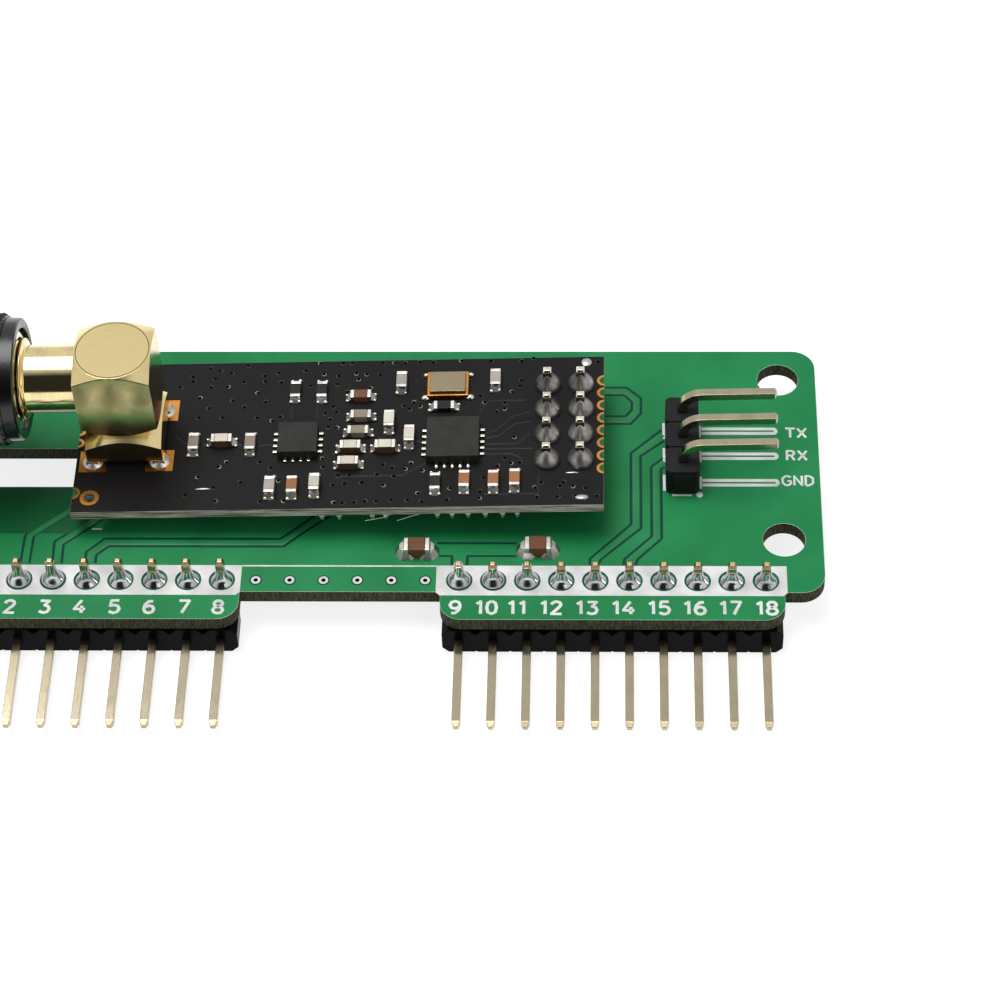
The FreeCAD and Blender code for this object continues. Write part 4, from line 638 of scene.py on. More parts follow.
def drawn_lines(lines, width, height, level, place=Matrix.Identity(4), closed=False, ease=0.05):
    """Lines drawn on a surface: round strokes pressed flat. Points and sizes are in millimetres."""
    curve = bpy.data.curves.new("strokes", "CURVE")
    curve.dimensions = "3D"
    curve.bevel_depth = width / 2 * MM
    curve.bevel_resolution = 1
    curve.use_fill_caps = True
    for points in lines:
        points = eased([Vector((*point[:2], 0)) for point in points], ease)
        spline = curve.splines.new("POLY")
        spline.points.add(len(points) - 1)
        for target, point in zip(spline.points, points):
            target.co = (*(point * MM), 1)
        spline.use_cyclic_u = closed
    holder = bpy.data.objects.new("strokes", curve)
    flat = bpy.data.meshes.new_from_object(holder)
    bpy.data.objects.remove(holder)
    bpy.data.curves.remove(curve)
    mesh = bmesh.new()
    mesh.from_mesh(flat)
    bpy.data.meshes.remove(flat)
    pressed = Matrix.Translation((0, 0, level * MM)) @ Matrix.Diagonal((1, 1, 2 * height / width, 1))
    bmesh.ops.transform(mesh, matrix=place @ pressed, verts=mesh.verts)
    return mesh


def join(mesh, other):
    """Add one bmesh to another."""
    data = bpy.data.meshes.new("joined")
    other.to_mesh(data)
    other.free()
    mesh.from_mesh(data)
    bpy.data.meshes.remove(data)


def written(text, left, low, height, advance):
    """The strokes of a text, each character scaled to its height. Advance is a share of the height."""
    lines = []
    for place, letter in enumerate(text):
        start = left + place * advance * height
        lines += [[(start + LETTER_WIDTH * x * height, low + y * height) for x, y in stroke]
                  for stroke in STROKES[letter]]
    return lines


def pin_place(position):
    return FIRST_PIN + PITCH * position


# Pairs of lines without copper, one each side of a track, in the row's frame
TRACK_GAPS = [
    ([(-26.75, -10.5), (-26.7, -7.8), (-25.0, -6.3), (-21.4, -3.3)],
     [(-26.1, -10.5), (-26.05, -7.8), (-24.1, -6.1), (-20.8, -3.3)]),
    ([(-24.35, -10.5), (-24.4, -8.4), (-23.1, -7.3), (-20.0, -4.4)],
     [(-23.65, -10.5), (-23.7, -8.7), (-22.5, -7.6), (-19.4, -4.8)]),
    ([(-21.9, -10.5), (-21.9, -9.4), (-20.6, -8.1), (-7.3, -8.1), (-6.5, -7.4), (-4.0, -5.0)],
     [(-21.1, -10.5), (-21.1, -9.7), (-20.2, -8.85), (-7.0, -8.85), (-5.6, -7.5), (-3.2, -5.4)]),
    ([(16.1, -10.6), (16.1, -10.0), (19.2, -6.6), (19.2, 0.5), (21.6, 2.9)],
     [(16.7, -10.6), (16.95, -10.0), (19.95, -7.0), (19.95, 0.2), (21.8, 1.8)]),
    ([(18.6, -10.6), (18.7, -10.0), (20.75, -7.8), (20.75, -0.9), (21.8, 0.1)],
     [(19.5, -10.6), (19.7, -10.0), (21.5, -8.0), (21.5, -1.1), (21.8, -0.9)]),
    ([(17.2, 7.3), (18.9, 7.3), (20.0, 6.2), (20.0, 4.6), (19.2, 3.5), (17.2, 3.5)],
     [(17.2, 6.5), (18.7, 6.5), (19.3, 5.8), (19.3, 5.0), (18.8, 4.3), (17.2, 4.3)]),
]
LONE_GAPS = [
    [(4.6, -8.5), (10.6, -8.5)], [(4.4, -9.75), (5.75, -9.75), (5.75, -10.6)],
    [(6.9, -10.6), (6.9, -9.75), (10.6, -9.75)],
]
BARE_PLACE = [(-33.5, -7.6), (-23.2, -7.6), (-20.9, -5.6), (-20.9, -3.1), (-33.5, -3.1)]
# Heights of the drawn faces above the board, from the lowest up
GAP_HEIGHT, BARE_HEIGHT, LANE_HEIGHT = 0.008, 0.012, 0.03
# A track's drawn width, in widths of the line beside it
LANE_SHARE = 2.4


class RADIOBOARD_OT_carrier(bpy.types.Operator):
    """Dress the green carrier board and draw its tracks"""
    bl_idname = "radioboard.carrier"
    bl_label = "Carrier board"

    def execute(self, context):
        dress("carrier_board", "carrier_panel", "green", edge=0.11 * MM, segments=3)
        carrier = settings("carrier_finish")
        bare = bmesh.new()
        corners = [bare.verts.new(Vector((x, y, CARRIER_TOP + BARE_HEIGHT)) * MM) for x, y in BARE_PLACE]
        bmesh.ops.contextual_create(bare, geom=corners)
        finish(bare, "bare_board_area", "bare", outward=False)
        gap = carrier.gap_width / MM
        middles = [[((x + u) / 2, (y + v) / 2) for (x, y), (u, v) in zip(*pair)] for pair in TRACK_GAPS]
        lanes = drawn_lines(middles, gap * LANE_SHARE, LANE_HEIGHT, CARRIER_TOP)
        finish(lanes, "track_lanes", "lane")
        gaps = drawn_lines([line for pair in TRACK_GAPS for line in pair] + LONE_GAPS, gap, GAP_HEIGHT,
                           CARRIER_TOP)
        finish(gaps, "track_borders", "gap")
        return {"FINISHED"}


# Each white strip: its pins, its left end and its right end
STRIPS = ((FRONT_PINS[:LEFT_PINS], -30.79, -10.01), (FRONT_PINS[LEFT_PINS:], 4.62, 30.79))
STRIP_FRONT, STRIP_BACK, STRIP_CORNER = PIN_ROW - 1.43, PIN_ROW + 1.42, 0.3
# Middle of each printed pin number, in pin order, and the line of their middles
NUMBER_PLACES = [
    -29.7, -27.11, -24.49, -21.89, -19.27, -16.7, -14.07, -11.53,
    6.11, 8.43, 10.83, 13.22, 15.88, 18.56, 21.24, 23.86, 26.51, 29.2,
]
NUMBER_LINE, NUMBER_ADVANCE = -14.66, 0.68
# Each label: its text, left end, foot and advance
LABELS = (("TX", 31.14, 2.12, 0.96), ("RX", 31.12, -0.18, 0.96), ("GND", 30.74, -2.72, 0.92))
LABEL_HEIGHT, LABEL_STROKE = 0.94, 0.19
SERIAL_ROWS = (2.77, 0.21, -2.47)
# Rings round the holes: inner radius, outer radius and height
DARK_RING, PLATED_RING, PIN_RING = (0.3, 0.47, 0.006), (0.17, 0.36, 0.02), (0.9, 0.975, 0.012)
OPEN_BORE = 0.19


def white_marks():
    """The printed lines, each with its width: beside the strips, and round the serial header's pins."""
    marks = [([(STRIPS[0][2], -10.72), (STRIPS[1][1], -10.72)], 0.14),
             ([(22.36, -3.72), (23.82, -3.72)], 0.16), ([(-21.7, -7.16), (-20.9, -7.16)], 0.14)]
    for y in SERIAL_ROWS:
        near, far = y - 0.23, y + 0.23
        marks += [([(24.65, near), (30.3, near), (30.42, y), (30.3, far), (24.65, far)], 0.3),
                  ([(21.77, y - 0.8), (21.77, y + 0.8)], 0.24), ([(24.52, y - 0.6), (24.52, y + 0.6)], 0.2)]
    return marks


def opening_cell(mesh, centre, radius, sides):
    """A piece of a strip with a round opening: a circle extruded out to the strip's sides."""
    left, right, low, high = sides
    at = Matrix.Translation(Vector((*centre, CARRIER_TOP)) * MM)
    circle = bmesh.ops.create_circle(mesh, segments=32, radius=radius * MM, matrix=at)["verts"]
    border = list({line for corner in circle for line in corner.link_edges})
    grown = bmesh.ops.extrude_edge_only(mesh, edges=border)["geom"]
    for corner in corners_in(grown):
        away = Vector((corner.co.x / MM - centre[0], corner.co.y / MM - centre[1]))
        far = max(abs(away.x), abs(away.y))
        slope = math.atan2(min(abs(away.x), abs(away.y)), far) / (math.pi / 4)
        reach_x = (right - centre[0]) if away.x > 0 else (centre[0] - left)
        reach_y = (high - centre[1]) if away.y > 0 else (centre[1] - low)
        along_x = 1 if abs(away.x) >= abs(away.y) else slope
        along_y = 1 if abs(away.y) >= abs(away.x) else slope
        corner.co.x = (centre[0] + math.copysign(reach_x * along_x, away.x)) * MM
        corner.co.y = (centre[1] + math.copysign(reach_y * along_y, away.y)) * MM


class RADIOBOARD_OT_print(bpy.types.Operator):
    """Print the white strips, numbers, pin outlines and labels on the carrier"""
    bl_idname = "radioboard.print"
    bl_label = "White printing"

    def execute(self, context):
        carrier = settings("carrier_finish")
        ink = carrier.ink_height / MM
        strips = bmesh.new()
        for positions, start, end in STRIPS:
            for position in positions:
                x = pin_place(position)
                left = start if position == positions[0] else x - PITCH / 2
                right = end if position == positions[-1] else x + PITCH / 2
                sides = (left, right, STRIP_FRONT, STRIP_BACK)
                opening_cell(strips, (x, PIN_ROW), carrier.opening / MM, sides)
        bmesh.ops.remove_doubles(strips, verts=strips.verts, dist=SAME_POINT)
        ends = [x for _, start, end in STRIPS for x in (start, end)]
        corners = [corner for corner in strips.verts if abs(corner.co.y - STRIP_FRONT * MM) < SAME_POINT
                   and any(abs(corner.co.x - x * MM) < SAME_POINT for x in ends)]
        bmesh.ops.bevel(strips, geom=corners, offset=STRIP_CORNER * MM, affect="VERTICES", segments=1,
                        profile=0.5, material=-1)
        raised = bmesh.ops.extrude_face_region(strips, geom=strips.faces[:])["geom"]
        bmesh.ops.translate(strips, vec=(0, 0, ink * MM), verts=corners_in(raised))
        finish(strips, "white_strips", "ink")

        height, stroke = carrier.number_height / MM, carrier.number_stroke / MM
        numbers = []
        for number, middle in enumerate(NUMBER_PLACES, 1):
            width = NUMBER_ADVANCE * len(str(number)) * height
            numbers += written(str(number), middle - width / 2, NUMBER_LINE - height / 2, height,
                               NUMBER_ADVANCE)
        finish(drawn_lines(numbers, stroke, ink, CARRIER_TOP, ease=0.03), "pin_numbers", "ink")

        labels = [line for text, left, low, advance in LABELS
                  for line in written(text, left, low, LABEL_HEIGHT, advance)]
        lines = drawn_lines(labels, LABEL_STROKE, ink, CARRIER_TOP, ease=0.03)
        for points, width in white_marks():
            join(lines, drawn_lines([points], width, ink, CARRIER_TOP))
        turned(lines, [(0, ink), (0.2, ink), (0.26, 0)], 16,
               Matrix.Translation(Vector((24.42, -3.68, CARRIER_TOP)) * MM))
        finish(lines, "white_lines", "ink")

        rings = bmesh.new()
        for position in range(LEFT_PINS, LEFT_PINS + OPEN_PLACES):
            place = (pin_place(position), PIN_ROW, CARRIER_TOP)
            ring(rings, place, *DARK_RING, 32, finish_index=1)
            ring(rings, place, *PLATED_RING, 32)
            # The bore is a flat near-black disc: painted shade inside the hole
            disc(rings, place, OPEN_BORE, 0.004, 24, finish_index=2)
        finish(rings, "carrier_vias", ["ink", "gap", "hole"], outward=False)
        halos = bmesh.new()
        for position in FRONT_PINS:
            ring(halos, (pin_place(position) + 0.03, PIN_ROW, CARRIER_TOP), *PIN_RING, 32)
        finish(halos, "opening_rims", "gap", outward=False)
        return {"FINISHED"}


def point_pins(mesh):
    """Draw the front pins' far ends and their tails' tops out to longer points."""
    far = min(corner.co.y for corner in mesh.verts)
    top = max(corner.co.z for corner in mesh.verts)
    for corner in mesh.verts:
        if 0.1 * MM < corner.co.y - far < 0.2 * MM:
            corner.co.y = far + 0.42 * MM
        if 0.1 * MM < top - corner.co.z < 0.2 * MM:
            corner.co.z = top - 0.3 * MM


def front_pin_tip(face):
    """The far ends' upward chamfers, picked by which way they face, get the darker, rougher pin-end finish:
    painted shade that tones down the lamp's highlight there. The tails' tops are warmer.
    """
    middle = face.calc_center_median() / MM
    if middle.y < -23:
        return 2 if 0.3 < face.normal.z < 0.99 else 0
    return 1 if middle.z > CARRIER_TOP + 1.7 and face.normal.z > 0.1 else 0


def pin_tip(face):
    """The tops of the module's pins get the bright metal: painted highlight."""
    middle = MODULE.inverted() @ face.calc_center_median() / MM
    return 2 if middle.z > MODULE_PIN_TOP - 0.2 and middle.x < MODULE_RIGHT else 0


# The raised face of the serial header, and the lines where its cells meet
FACE_HALF_WIDTH, FACE_DEPTH, FACE_ROOT, FACE_FOOT, FACE_DROP, FACE_EDGE = 0.78, 0.12, 0.05, 0.55, 0.35, 0.1
SERIAL_CELLS = 3
JOINT_INSET, JOINT_WIDTH, JOINT_HEIGHT = 0.12, 0.13, 0.02


class RADIOBOARD_OT_headers(bpy.types.Operator):
    """Dress the headers' plastic and pins"""
    bl_idname = "radioboard.headers"
    bl_label = "Pin headers"

    def execute(self, context):
        edge = settings("plastic_finish").header_edge
        pin_edge = settings("metal_finish").pin_edge
        for side in ("left", "right", "serial", "module"):
            front = side in ("left", "right")
            dress(f"{side}_header_body", f"{side}_header_block", "slate" if side == "serial" else "nylon",
                  edge=edge)
            dress(f"{side}_header_pins", f"{side}_header_posts",
                  ["tin", "cut_tip", "end_cut" if front else "glint"], edge=pin_edge,
                  choose=front_pin_tip if front else pin_tip,
                  shape=point_pins if front else None, crease=math.radians(10) if front else CREASE)
        low, high = (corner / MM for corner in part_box("serial_header_body"))
        middle = (low.x + high.x) / 2
        face = bmesh.new()
        slab(face, (middle - FACE_HALF_WIDTH, low.y - FACE_DEPTH, CARRIER_TOP + FACE_FOOT),
             (middle + FACE_HALF_WIDTH, low.y + FACE_ROOT, high.z - FACE_DROP))
        bmesh.ops.bevel(face, geom=face.edges[:], offset=FACE_EDGE * MM, affect="EDGES", segments=2,
                        profile=0.5, material=-1)
        finish(face, "serial_header_face", "slate")
        rows = [low.y + (high.y - low.y) * cell / SERIAL_CELLS for cell in range(1, SERIAL_CELLS)]
        joints = [[(low.x + JOINT_INSET, y), (high.x - JOINT_INSET, y)] for y in rows]
        finish(drawn_lines(joints, JOINT_WIDTH, JOINT_HEIGHT, high.z - 0.005), "serial_header_joints",
               "hole")
        return {"FINISHED"}


# Solder drawn up a pin, as shares of its foot's radius and of its height
FULL_DROP = [(1.0, 0.0), (1.0, 0.06), (0.94, 0.13), (0.8, 0.23), (0.64, 0.35), (0.5, 0.49), (0.43, 0.7),
             (0.4, 1.0), (0.0, 1.0)]
SPREAD_CONE = [(1.0, 0.0), (0.93, 0.08), (0.78, 0.2), (0.63, 0.38), (0.52, 0.6), (0.45, 0.82), (0.42, 1.0),
               (0.0, 1.0)]
STEEP_DROP = [(1.0, 0.0), (0.99, 0.1), (0.88, 0.26), (0.66, 0.44), (0.44, 0.64), (0.3, 0.84), (0.24, 1.0),
              (0.0, 1.0)]
# Places along the row where the solder stands as high as the pin, and its height
FULL_DROPS = {1: 1.9, 2: 2.1, 14: 1.9, 15: 1.75, 16: 1.85}
FRONT_FOOT, MODULE_FOOT = 0.87, 1.04


def solder_drop(mesh, shares, foot, height, at):
    """A drop whose shape is given in shares of its foot's radius and of its height."""
    turned(mesh, [(foot * radius, height * level) for radius, level in shares], 28, at)


class RADIOBOARD_OT_solder(bpy.types.Operator):
    """Flow smooth solder round the pins"""
    bl_idname = "radioboard.solder"
    bl_label = "Solder"

    def execute(self, context):
        random.seed(7)
        for side, positions in (("left", FRONT_PINS[:LEFT_PINS]), ("right", FRONT_PINS[LEFT_PINS:])):
            cones = bmesh.new()
            for position in positions:
                at = Matrix.Translation(Vector((pin_place(position), PIN_ROW, CARRIER_TOP)) * MM)
                if position in FULL_DROPS:
                    solder_drop(cones, FULL_DROP, FRONT_FOOT, FULL_DROPS[position], at)
                else:
                    solder_drop(cones, SPREAD_CONE, FRONT_FOOT, random.uniform(1.15, 1.4), at)
            finish(cones, f"{side}_row_solder", "solder", stands_for=[f"{side}_header_solder"])
        tops = bmesh.new()
        for x in MODULE_PINS_X:
            for y in MODULE_PINS_Y:
                at = MODULE @ Matrix.Translation(Vector((x, y, MODULE_TOP)) * MM)
                solder_drop(tops, STEEP_DROP, MODULE_FOOT, random.uniform(1.6, 1.8), at)
        # The cones take the darker solder: painted dark reflection
        finish(tops, "module_cones", "fluxed", stands_for=["module_top_solder"])
        dress("module_bottom_solder", "module_underside_solder", "solder")
        dress("serial_header_solder", "serial_tails_solder", "solder")
        return {"FINISHED"}


class RADIOBOARD_OT_power_capacitors(bpy.types.Operator):
    """Dress the two capacitors on the carrier"""
    bl_idname = "radioboard.power_capacitors"
    bl_label = "Carrier capacitors"

    def execute(self, context):
        dress("power_capacitors", "power_capacitor_bodies", "umber")
        dress("power_capacitor_ends", "power_capacitor_caps", "end", edge=0.08 * MM)
        dress("power_capacitor_solder", "power_capacitor_mounds", "dull", edge=0.12 * MM)
        return {"FINISHED"}


# Distances from the module's right edge and front edge
CONNECTOR_PADS = [(33.8, 5.0), (38.9, 5.0), (33.8, 10.1), (38.9, 10.1)]
EDGE_TEETH = [21.2, 19.9, 17.4, 16.4, 12.5, 11.4, 10.2, 8.9, 7.6, 6.5]
# Each half hole: its edge of the module, its distance from the front edge and its radius
HALF_HOLES = [(MODULE_RIGHT, 3.57 + 1.27 * place, 0.34) for place in range(8)] + [
    (MODULE_LEFT, 1.9, 0.4), (MODULE_LEFT, 6.9, 0.24), (MODULE_LEFT, 8.1, 0.24)]
CORNER_HOLE, CORNER_RING = (MODULE_LEFT + 1.35, MODULE_FRONT + 1.4, MODULE_TOP), (0.44, 0.74)
# Height of the gold, and the width of its ring round a half hole
PLATING, HALF_RING = 0.03, 0.2
# Each smear: its place, its length and its width
SOLDER_SMEARS = [(1.65, 0.75, 0.5, 0.28), (1.35, 14.4, 0.4, 0.42), (30.3, 2.1, 0.6, 0.12),
                 (2.4, 3.15, 0.5, 0.1)]
EDGE_FIBRES = [[(15.7, 0.1), (16.6, -0.4), (17.9, -0.65)], [(13.4, 0.1), (14.5, -0.3), (15.5, -0.7)]]
MODULE_TRACKS = [
    [(9.0, 7.3), (8.2, 7.6), (6.9, 9.0), (5.6, 9.4)], [(9.0, 6.8), (8.0, 7.0), (6.8, 8.2), (5.6, 8.4)],
    [(9.0, 6.2), (6.6, 6.2), (5.6, 7.2)], [(9.0, 5.7), (5.4, 5.7)], [(9.0, 5.2), (7.0, 5.2), (6.2, 4.7)],
    [(13.9, 6.5), (15.0, 6.9)], [(20.6, 5.4), (19.0, 5.3)], [(26.3, 6.4), (25.2, 6.5)],
    [(28.4, 6.6), (27.6, 6.5)], [(30.6, 6.6), (30.0, 6.6)], [(32.8, 7.5), (31.9, 6.6)],
    [(13.5, 4.4), (15.2, 3.2), (20.2, 3.2)], [(9.6, 9.4), (8.8, 10.6), (6.0, 10.6)],
    [(22.0, 9.0), (22.0, 10.8)], [(24.0, 9.0), (24.0, 10.8)], [(4.9, 3.0), (4.9, 1.2), (9.0, 1.2)],
]


def blob(mesh, place, radii, finish_index=0):
    """A flattened drop of solder on the module."""
    made = bmesh.ops.create_icosphere(mesh, subdivisions=2, radius=MM, matrix=MODULE @ Matrix.Translation(
        Vector(place) * MM) @ Matrix.Diagonal((*radii, 1)))
    paint(made["verts"], finish_index)


def on_module(right, front, up=0.0):
    """A place on the module, from the distances to its right and front edges and its top."""
    return (MODULE_RIGHT - right, MODULE_FRONT + front, MODULE_TOP + up)


def disc(mesh, centre, radius, height, sides, place=Matrix.Identity(4), finish_index=0):
    """A flat round face at a height above its centre's level."""
    at = place @ Matrix.Translation((Vector(centre) + Vector((0, 0, height))) * MM)
    made = bmesh.ops.create_circle(mesh, cap_ends=True, segments=sides, radius=radius * MM, matrix=at)
    paint(made["verts"], finish_index)


class RADIOBOARD_OT_module(bpy.types.Operator):
    """Dress the module board, with its plated holes and pads"""
    bl_idname = "radioboard.module"
    bl_label = "Module board"

    def execute(self, context):
        module = settings("module_finish")
        dress("module_board", "module_panel", "charcoal", edge=0.04 * MM)
        outer = module.via_radius / MM
        random.seed(11)
        vias = bmesh.new()
        for right, front in VIAS:
            x, y, z = on_module(right, front)
            turn = random.uniform(0, 2 * math.pi)
            disc(vias, (x, y, z), outer, 0.008, 10, MODULE, random.choices((0, 1, 2), (7, 3, 1))[0])
            # The hole is a flat near-black disc: painted shade inside the via
            disc(vias, (x + outer * 0.22 * math.cos(turn), y + outer * 0.22 * math.sin(turn), z),
                 outer * 0.84, 0.014, 10, MODULE, 3)
        finish(vias, "module_vias", ["dim", "lit", "copper", "hole"], outward=False)

        tracks = [[on_module(*point)[:2] for point in line] for line in MODULE_TRACKS]
        finish(drawn_lines(tracks, 0.16, 0.012, MODULE_TOP, MODULE), "module_tracks", "track")

        gold = bmesh.new()
        side = module.pad_side / MM / 2
        for right, front in CONNECTOR_PADS:
            x, y, z = on_module(right, front)
            slab(gold, (x - side, y - side, z - 0.01), (x + side, y + side, z + PLATING))
        ring(gold, CORNER_HOLE, *CORNER_RING, PLATING, 28)
        for x, front, hole in HALF_HOLES:
            place = (x, MODULE_FRONT + front, MODULE_TOP)
            ring(gold, place, hole, hole + HALF_RING, PLATING, 24)
            # Each half hole is covered by a flat darker green disc: painted shade of the carrier below
            disc(gold, place, hole, 0.01, 24, finish_index=1)
        for x, outwards in ((MODULE_RIGHT, 1), (MODULE_LEFT, -1)):
            bmesh.ops.bisect_plane(gold, geom=gold.verts[:] + gold.edges[:] + gold.faces[:],
                                   plane_co=(x * MM, 0, 0), plane_no=(outwards, 0, 0), clear_outer=True)
        bmesh.ops.transform(gold, matrix=MODULE, verts=gold.verts)
        finish(gold, "module_gold_pads", ["gold", "bare"], outward=False)

        teeth = bmesh.new()
        for right in EDGE_TEETH:
            x, y, _ = on_module(right, 0.02)
            at = MODULE @ Matrix.Translation(Vector((x, y, MODULE_UNDERSIDE - 0.2)) * MM)
            bmesh.ops.create_cone(teeth, cap_ends=True, segments=8, radius1=0.12 * MM, radius2=0.22 * MM,
                                  depth=0.45 * MM, matrix=at)
        for right, front, long, wide in SOLDER_SMEARS:
            blob(teeth, on_module(right, front, 0.02), (long, wide, 0.08), 1)
        # The teeth take the brightest solder so they read white where they face into shade: painted
        # highlight
        finish(teeth, "module_stray_solder", ["satin", "dull"])
        fibres = [[on_module(right, front)[:2] for right, front in line] for line in EDGE_FIBRES]
        finish(drawn_lines(fibres, 0.05, 0.025, MODULE_UNDERSIDE + 0.1, MODULE), "module_loose_fibres",
               "fibre")
        return {"FINISHED"}


def nearest(places):
    """Give each face the finish of the chip whose place is nearest."""
    def choose(face):
        middle = MODULE.inverted() @ face.calc_center_median()
        right, front = MODULE_RIGHT - middle.x / MM, middle.y / MM - MODULE_FRONT
        return min(range(len(places)),
                   key=lambda i: (places[i][0] - right) ** 2 + (places[i][1] - front) ** 2)
    return choose


# Beads at a chip's corners: along it, across it and their radius, each from one value to another
BEAD_ALONG, BEAD_ACROSS, BEAD_RADIUS = (1.0, 1.12), (0.26, 0.34), (0.11, 0.18)
# Beads at the crystal's corners and along the radio chip's front edge
CRYSTAL_ALONG, CRYSTAL_ACROSS, CRYSTAL_BEADS = 1.72, 1.15, ((-1, 0.36), (1, 0.26))
LEAD_PITCH, LEAD_ROW, LEAD_BEAD = 0.6, 2.3, (0.17, 0.3, 0.14)


class RADIOBOARD_OT_chips(bpy.types.Operator):
    """Dress the module's chips, crystal and their solder"""
    bl_idname = "radioboard.chips"
    bl_label = "Chips"

    def execute(self, context):
        finishes = ["buff", "pale", "orange", "umber"]
        which = nearest(CAPACITORS)
        dress("capacitor_bodies", "chip_capacitors", finishes, edge=0.04 * MM,
              choose=lambda face: finishes.index(CAPACITORS[which(face)][3]))
        dress("inductor_bodies", "chip_inductors", ["brown", "cream"], edge=0.03 * MM,
              choose=lambda face: int(face.normal.z > 0.7))
        dress("resistor_bodies", "chip_resistors", "black", edge=0.03 * MM)
        dress("component_ends", "chip_caps", "end")
        # The fillets take the darker solder: painted dark reflection
        dress("component_solder", "chip_solder", "fluxed")
        dress("radio_chip", "radio_package", "epoxy", edge=0.03 * MM)
        dress("amplifier_chip", "amplifier_package", "epoxy", edge=0.03 * MM)
        # The leads take the bright metal: painted highlight
        dress("chip_leads", "package_leads", "glint", edge=0.08 * MM)
        dress("crystal_base", "crystal_frame", "gold", edge=0.08 * MM)
        dress("crystal_lid", "crystal_cover", "lid", edge=0.06 * MM)
        random.seed(5)
        beads = bmesh.new()
        for right, front, lies_along in [place[:3] for place in CAPACITORS + INDUCTORS + RESISTORS]:
            for end in (-1, 1):
                for side in (-1, 1):
                    radius = random.uniform(*BEAD_RADIUS)
                    along, across = end * random.uniform(*BEAD_ALONG), side * random.uniform(*BEAD_ACROSS)
                    step = (along, across) if lies_along else (across, along)
                    blob(beads, on_module(right + step[0], front + step[1], 0.08), [radius] * 3)
        for side in (-1, 1):
            for end, radius in CRYSTAL_BEADS:
                place = on_module(CRYSTAL[0] + side * CRYSTAL_ALONG, CRYSTAL[1] + end * CRYSTAL_ACROSS, 0.06)
                blob(beads, place, (radius, radius * 0.8, 0.24))
        for lead in range(-2, 3):
            blob(beads, on_module(RADIO[0] + lead * LEAD_PITCH, RADIO[1] - LEAD_ROW, 0.08), LEAD_BEAD)
        # The beads take the bright metal: painted highlight
        finish(beads, "chip_solder_beads", "glint")
        return {"FINISHED"}


# Solder round a leg and the threaded barrel, turned round an axis: each corner's radius and level
LEG_FILLET = [(0.8, 0), (0.78, 0.05), (0.66, 0.16), (0.54, 0.32), (0.45, 0.46), (0, 0.5)]
THREAD_RADIUS, THREAD_DEPTH, THREAD_STEP = 3.1, 0.22, 0.3
BARREL = [(2.05, 0), (2.56, 0), (2.56, 3.75), (2.62, 3.82), (2.95, 3.9), (THREAD_RADIUS, 4.0),
          *((THREAD_RADIUS - THREAD_DEPTH * (step % 2), 4.1 + THREAD_STEP * step) for step in range(24)),
          (2.95, 11.4), (2.8, 11.5), (2.05, 11.5), (2.05, 0)]
# The painted dark reflection line round the block's top
SEAM_RADIUS, SEAM_CORNERS = 2.76, 60


class RADIOBOARD_OT_connector(bpy.types.Operator):
    """Dress the gold plated connector"""
    bl_idname = "radioboard.connector"
    bl_label = "Connector"

    def execute(self, context):
        dress("connector_block", "connector_turned_block", "brass", edge=0.06 * MM,
              crease=math.radians(14))
        block = copied("connector_block")
        bmesh.ops.transform(block, matrix=MODULE.inverted(), verts=block.verts)
        top = max(corner.co.z for corner in block.verts) / MM
        turns = [2 * math.pi * corner / SEAM_CORNERS for corner in range(SEAM_CORNERS)]
        circle = [(CONNECTOR.x + SEAM_RADIUS * math.cos(turn), CONNECTOR.y + SEAM_RADIUS * math.sin(turn))
                  for turn in turns]
        seams = drawn_lines([circle], 0.06, 0.012, top, MODULE, closed=True)
        # The curved edge where the block's front face meets the bevel above it, drawn over with a painted
        # dark reflection line
        arc = {corner for line in block.edges if len(line.link_faces) == 2
               and min(face.normal.y for face in line.link_faces) < -0.85
               and max(face.normal.z for face in line.link_faces) > 0.25
               and line.verts[0].co.z > (top - 1.6) * MM for corner in line.verts}
        front = min(corner.co.y for corner in arc)
        arc = sorted((corner.co.x / MM, corner.co.z / MM - 0.04) for corner in arc)
        join(seams, drawn_lines([arc], 0.09, 0.02, 0.0, MODULE @ Matrix.Translation((0, front, 0))
                                @ Matrix.Rotation(math.pi / 2, 4, "X")))
        block.free()
        finish(seams, "connector_seams", "seam")
        fillets = bmesh.new()
        for right, front in CONNECTOR_PADS:
            at = MODULE @ Matrix.Translation(Vector(on_module(right, front, 0.02)) * MM)
            turned(fillets, LEG_FILLET, 28, at)
        finish(fillets, "connector_leg_solder", "satin", stands_for=["connector_solder"])
        barrel = bmesh.new()
        turned(barrel, BARREL, 56, AXIS)
        finish(barrel, "connector_threaded_barrel", "barrel", stands_for=["connector_barrel"],
               edge=0.04 * MM)
        dress("connector_insulator", "connector_dielectric", "insulator")
        dress("connector_contact", "connector_centre_pin", "barrel")
        return {"FINISHED"}


# The nut and the sleeve, turned round the connector's axis: each corner's radius and level
NUT = [(3.15, 4.4), (3.3, 4.4), (3.6, 4.45), (3.84, 4.6), (3.84, 16.5), (2.05, 16.5), (2.05, 11.8),
       (3.15, 11.8), (3.15, 4.4)]
SLEEVE_BORE, SLEEVE_RADIUS, KNURL_START, KNURL_END = 3.86, 4.82, 5.25, 16.4
SLEEVE_LIP = [(SLEEVE_BORE, 5.2), (SLEEVE_BORE, 4.25), (4.0, 4.2), (4.5, 4.2), (4.62, 4.3), (4.65, 5.1),
              (4.65, KNURL_START), (SLEEVE_BORE, KNURL_START), (SLEEVE_BORE, 5.2)]
SLEEVE_FAR_END = [(SLEEVE_BORE, KNURL_END), (SLEEVE_RADIUS, KNURL_END), (4.8, 16.5), (SLEEVE_BORE, 16.5),
                  (SLEEVE_BORE, KNURL_END)]
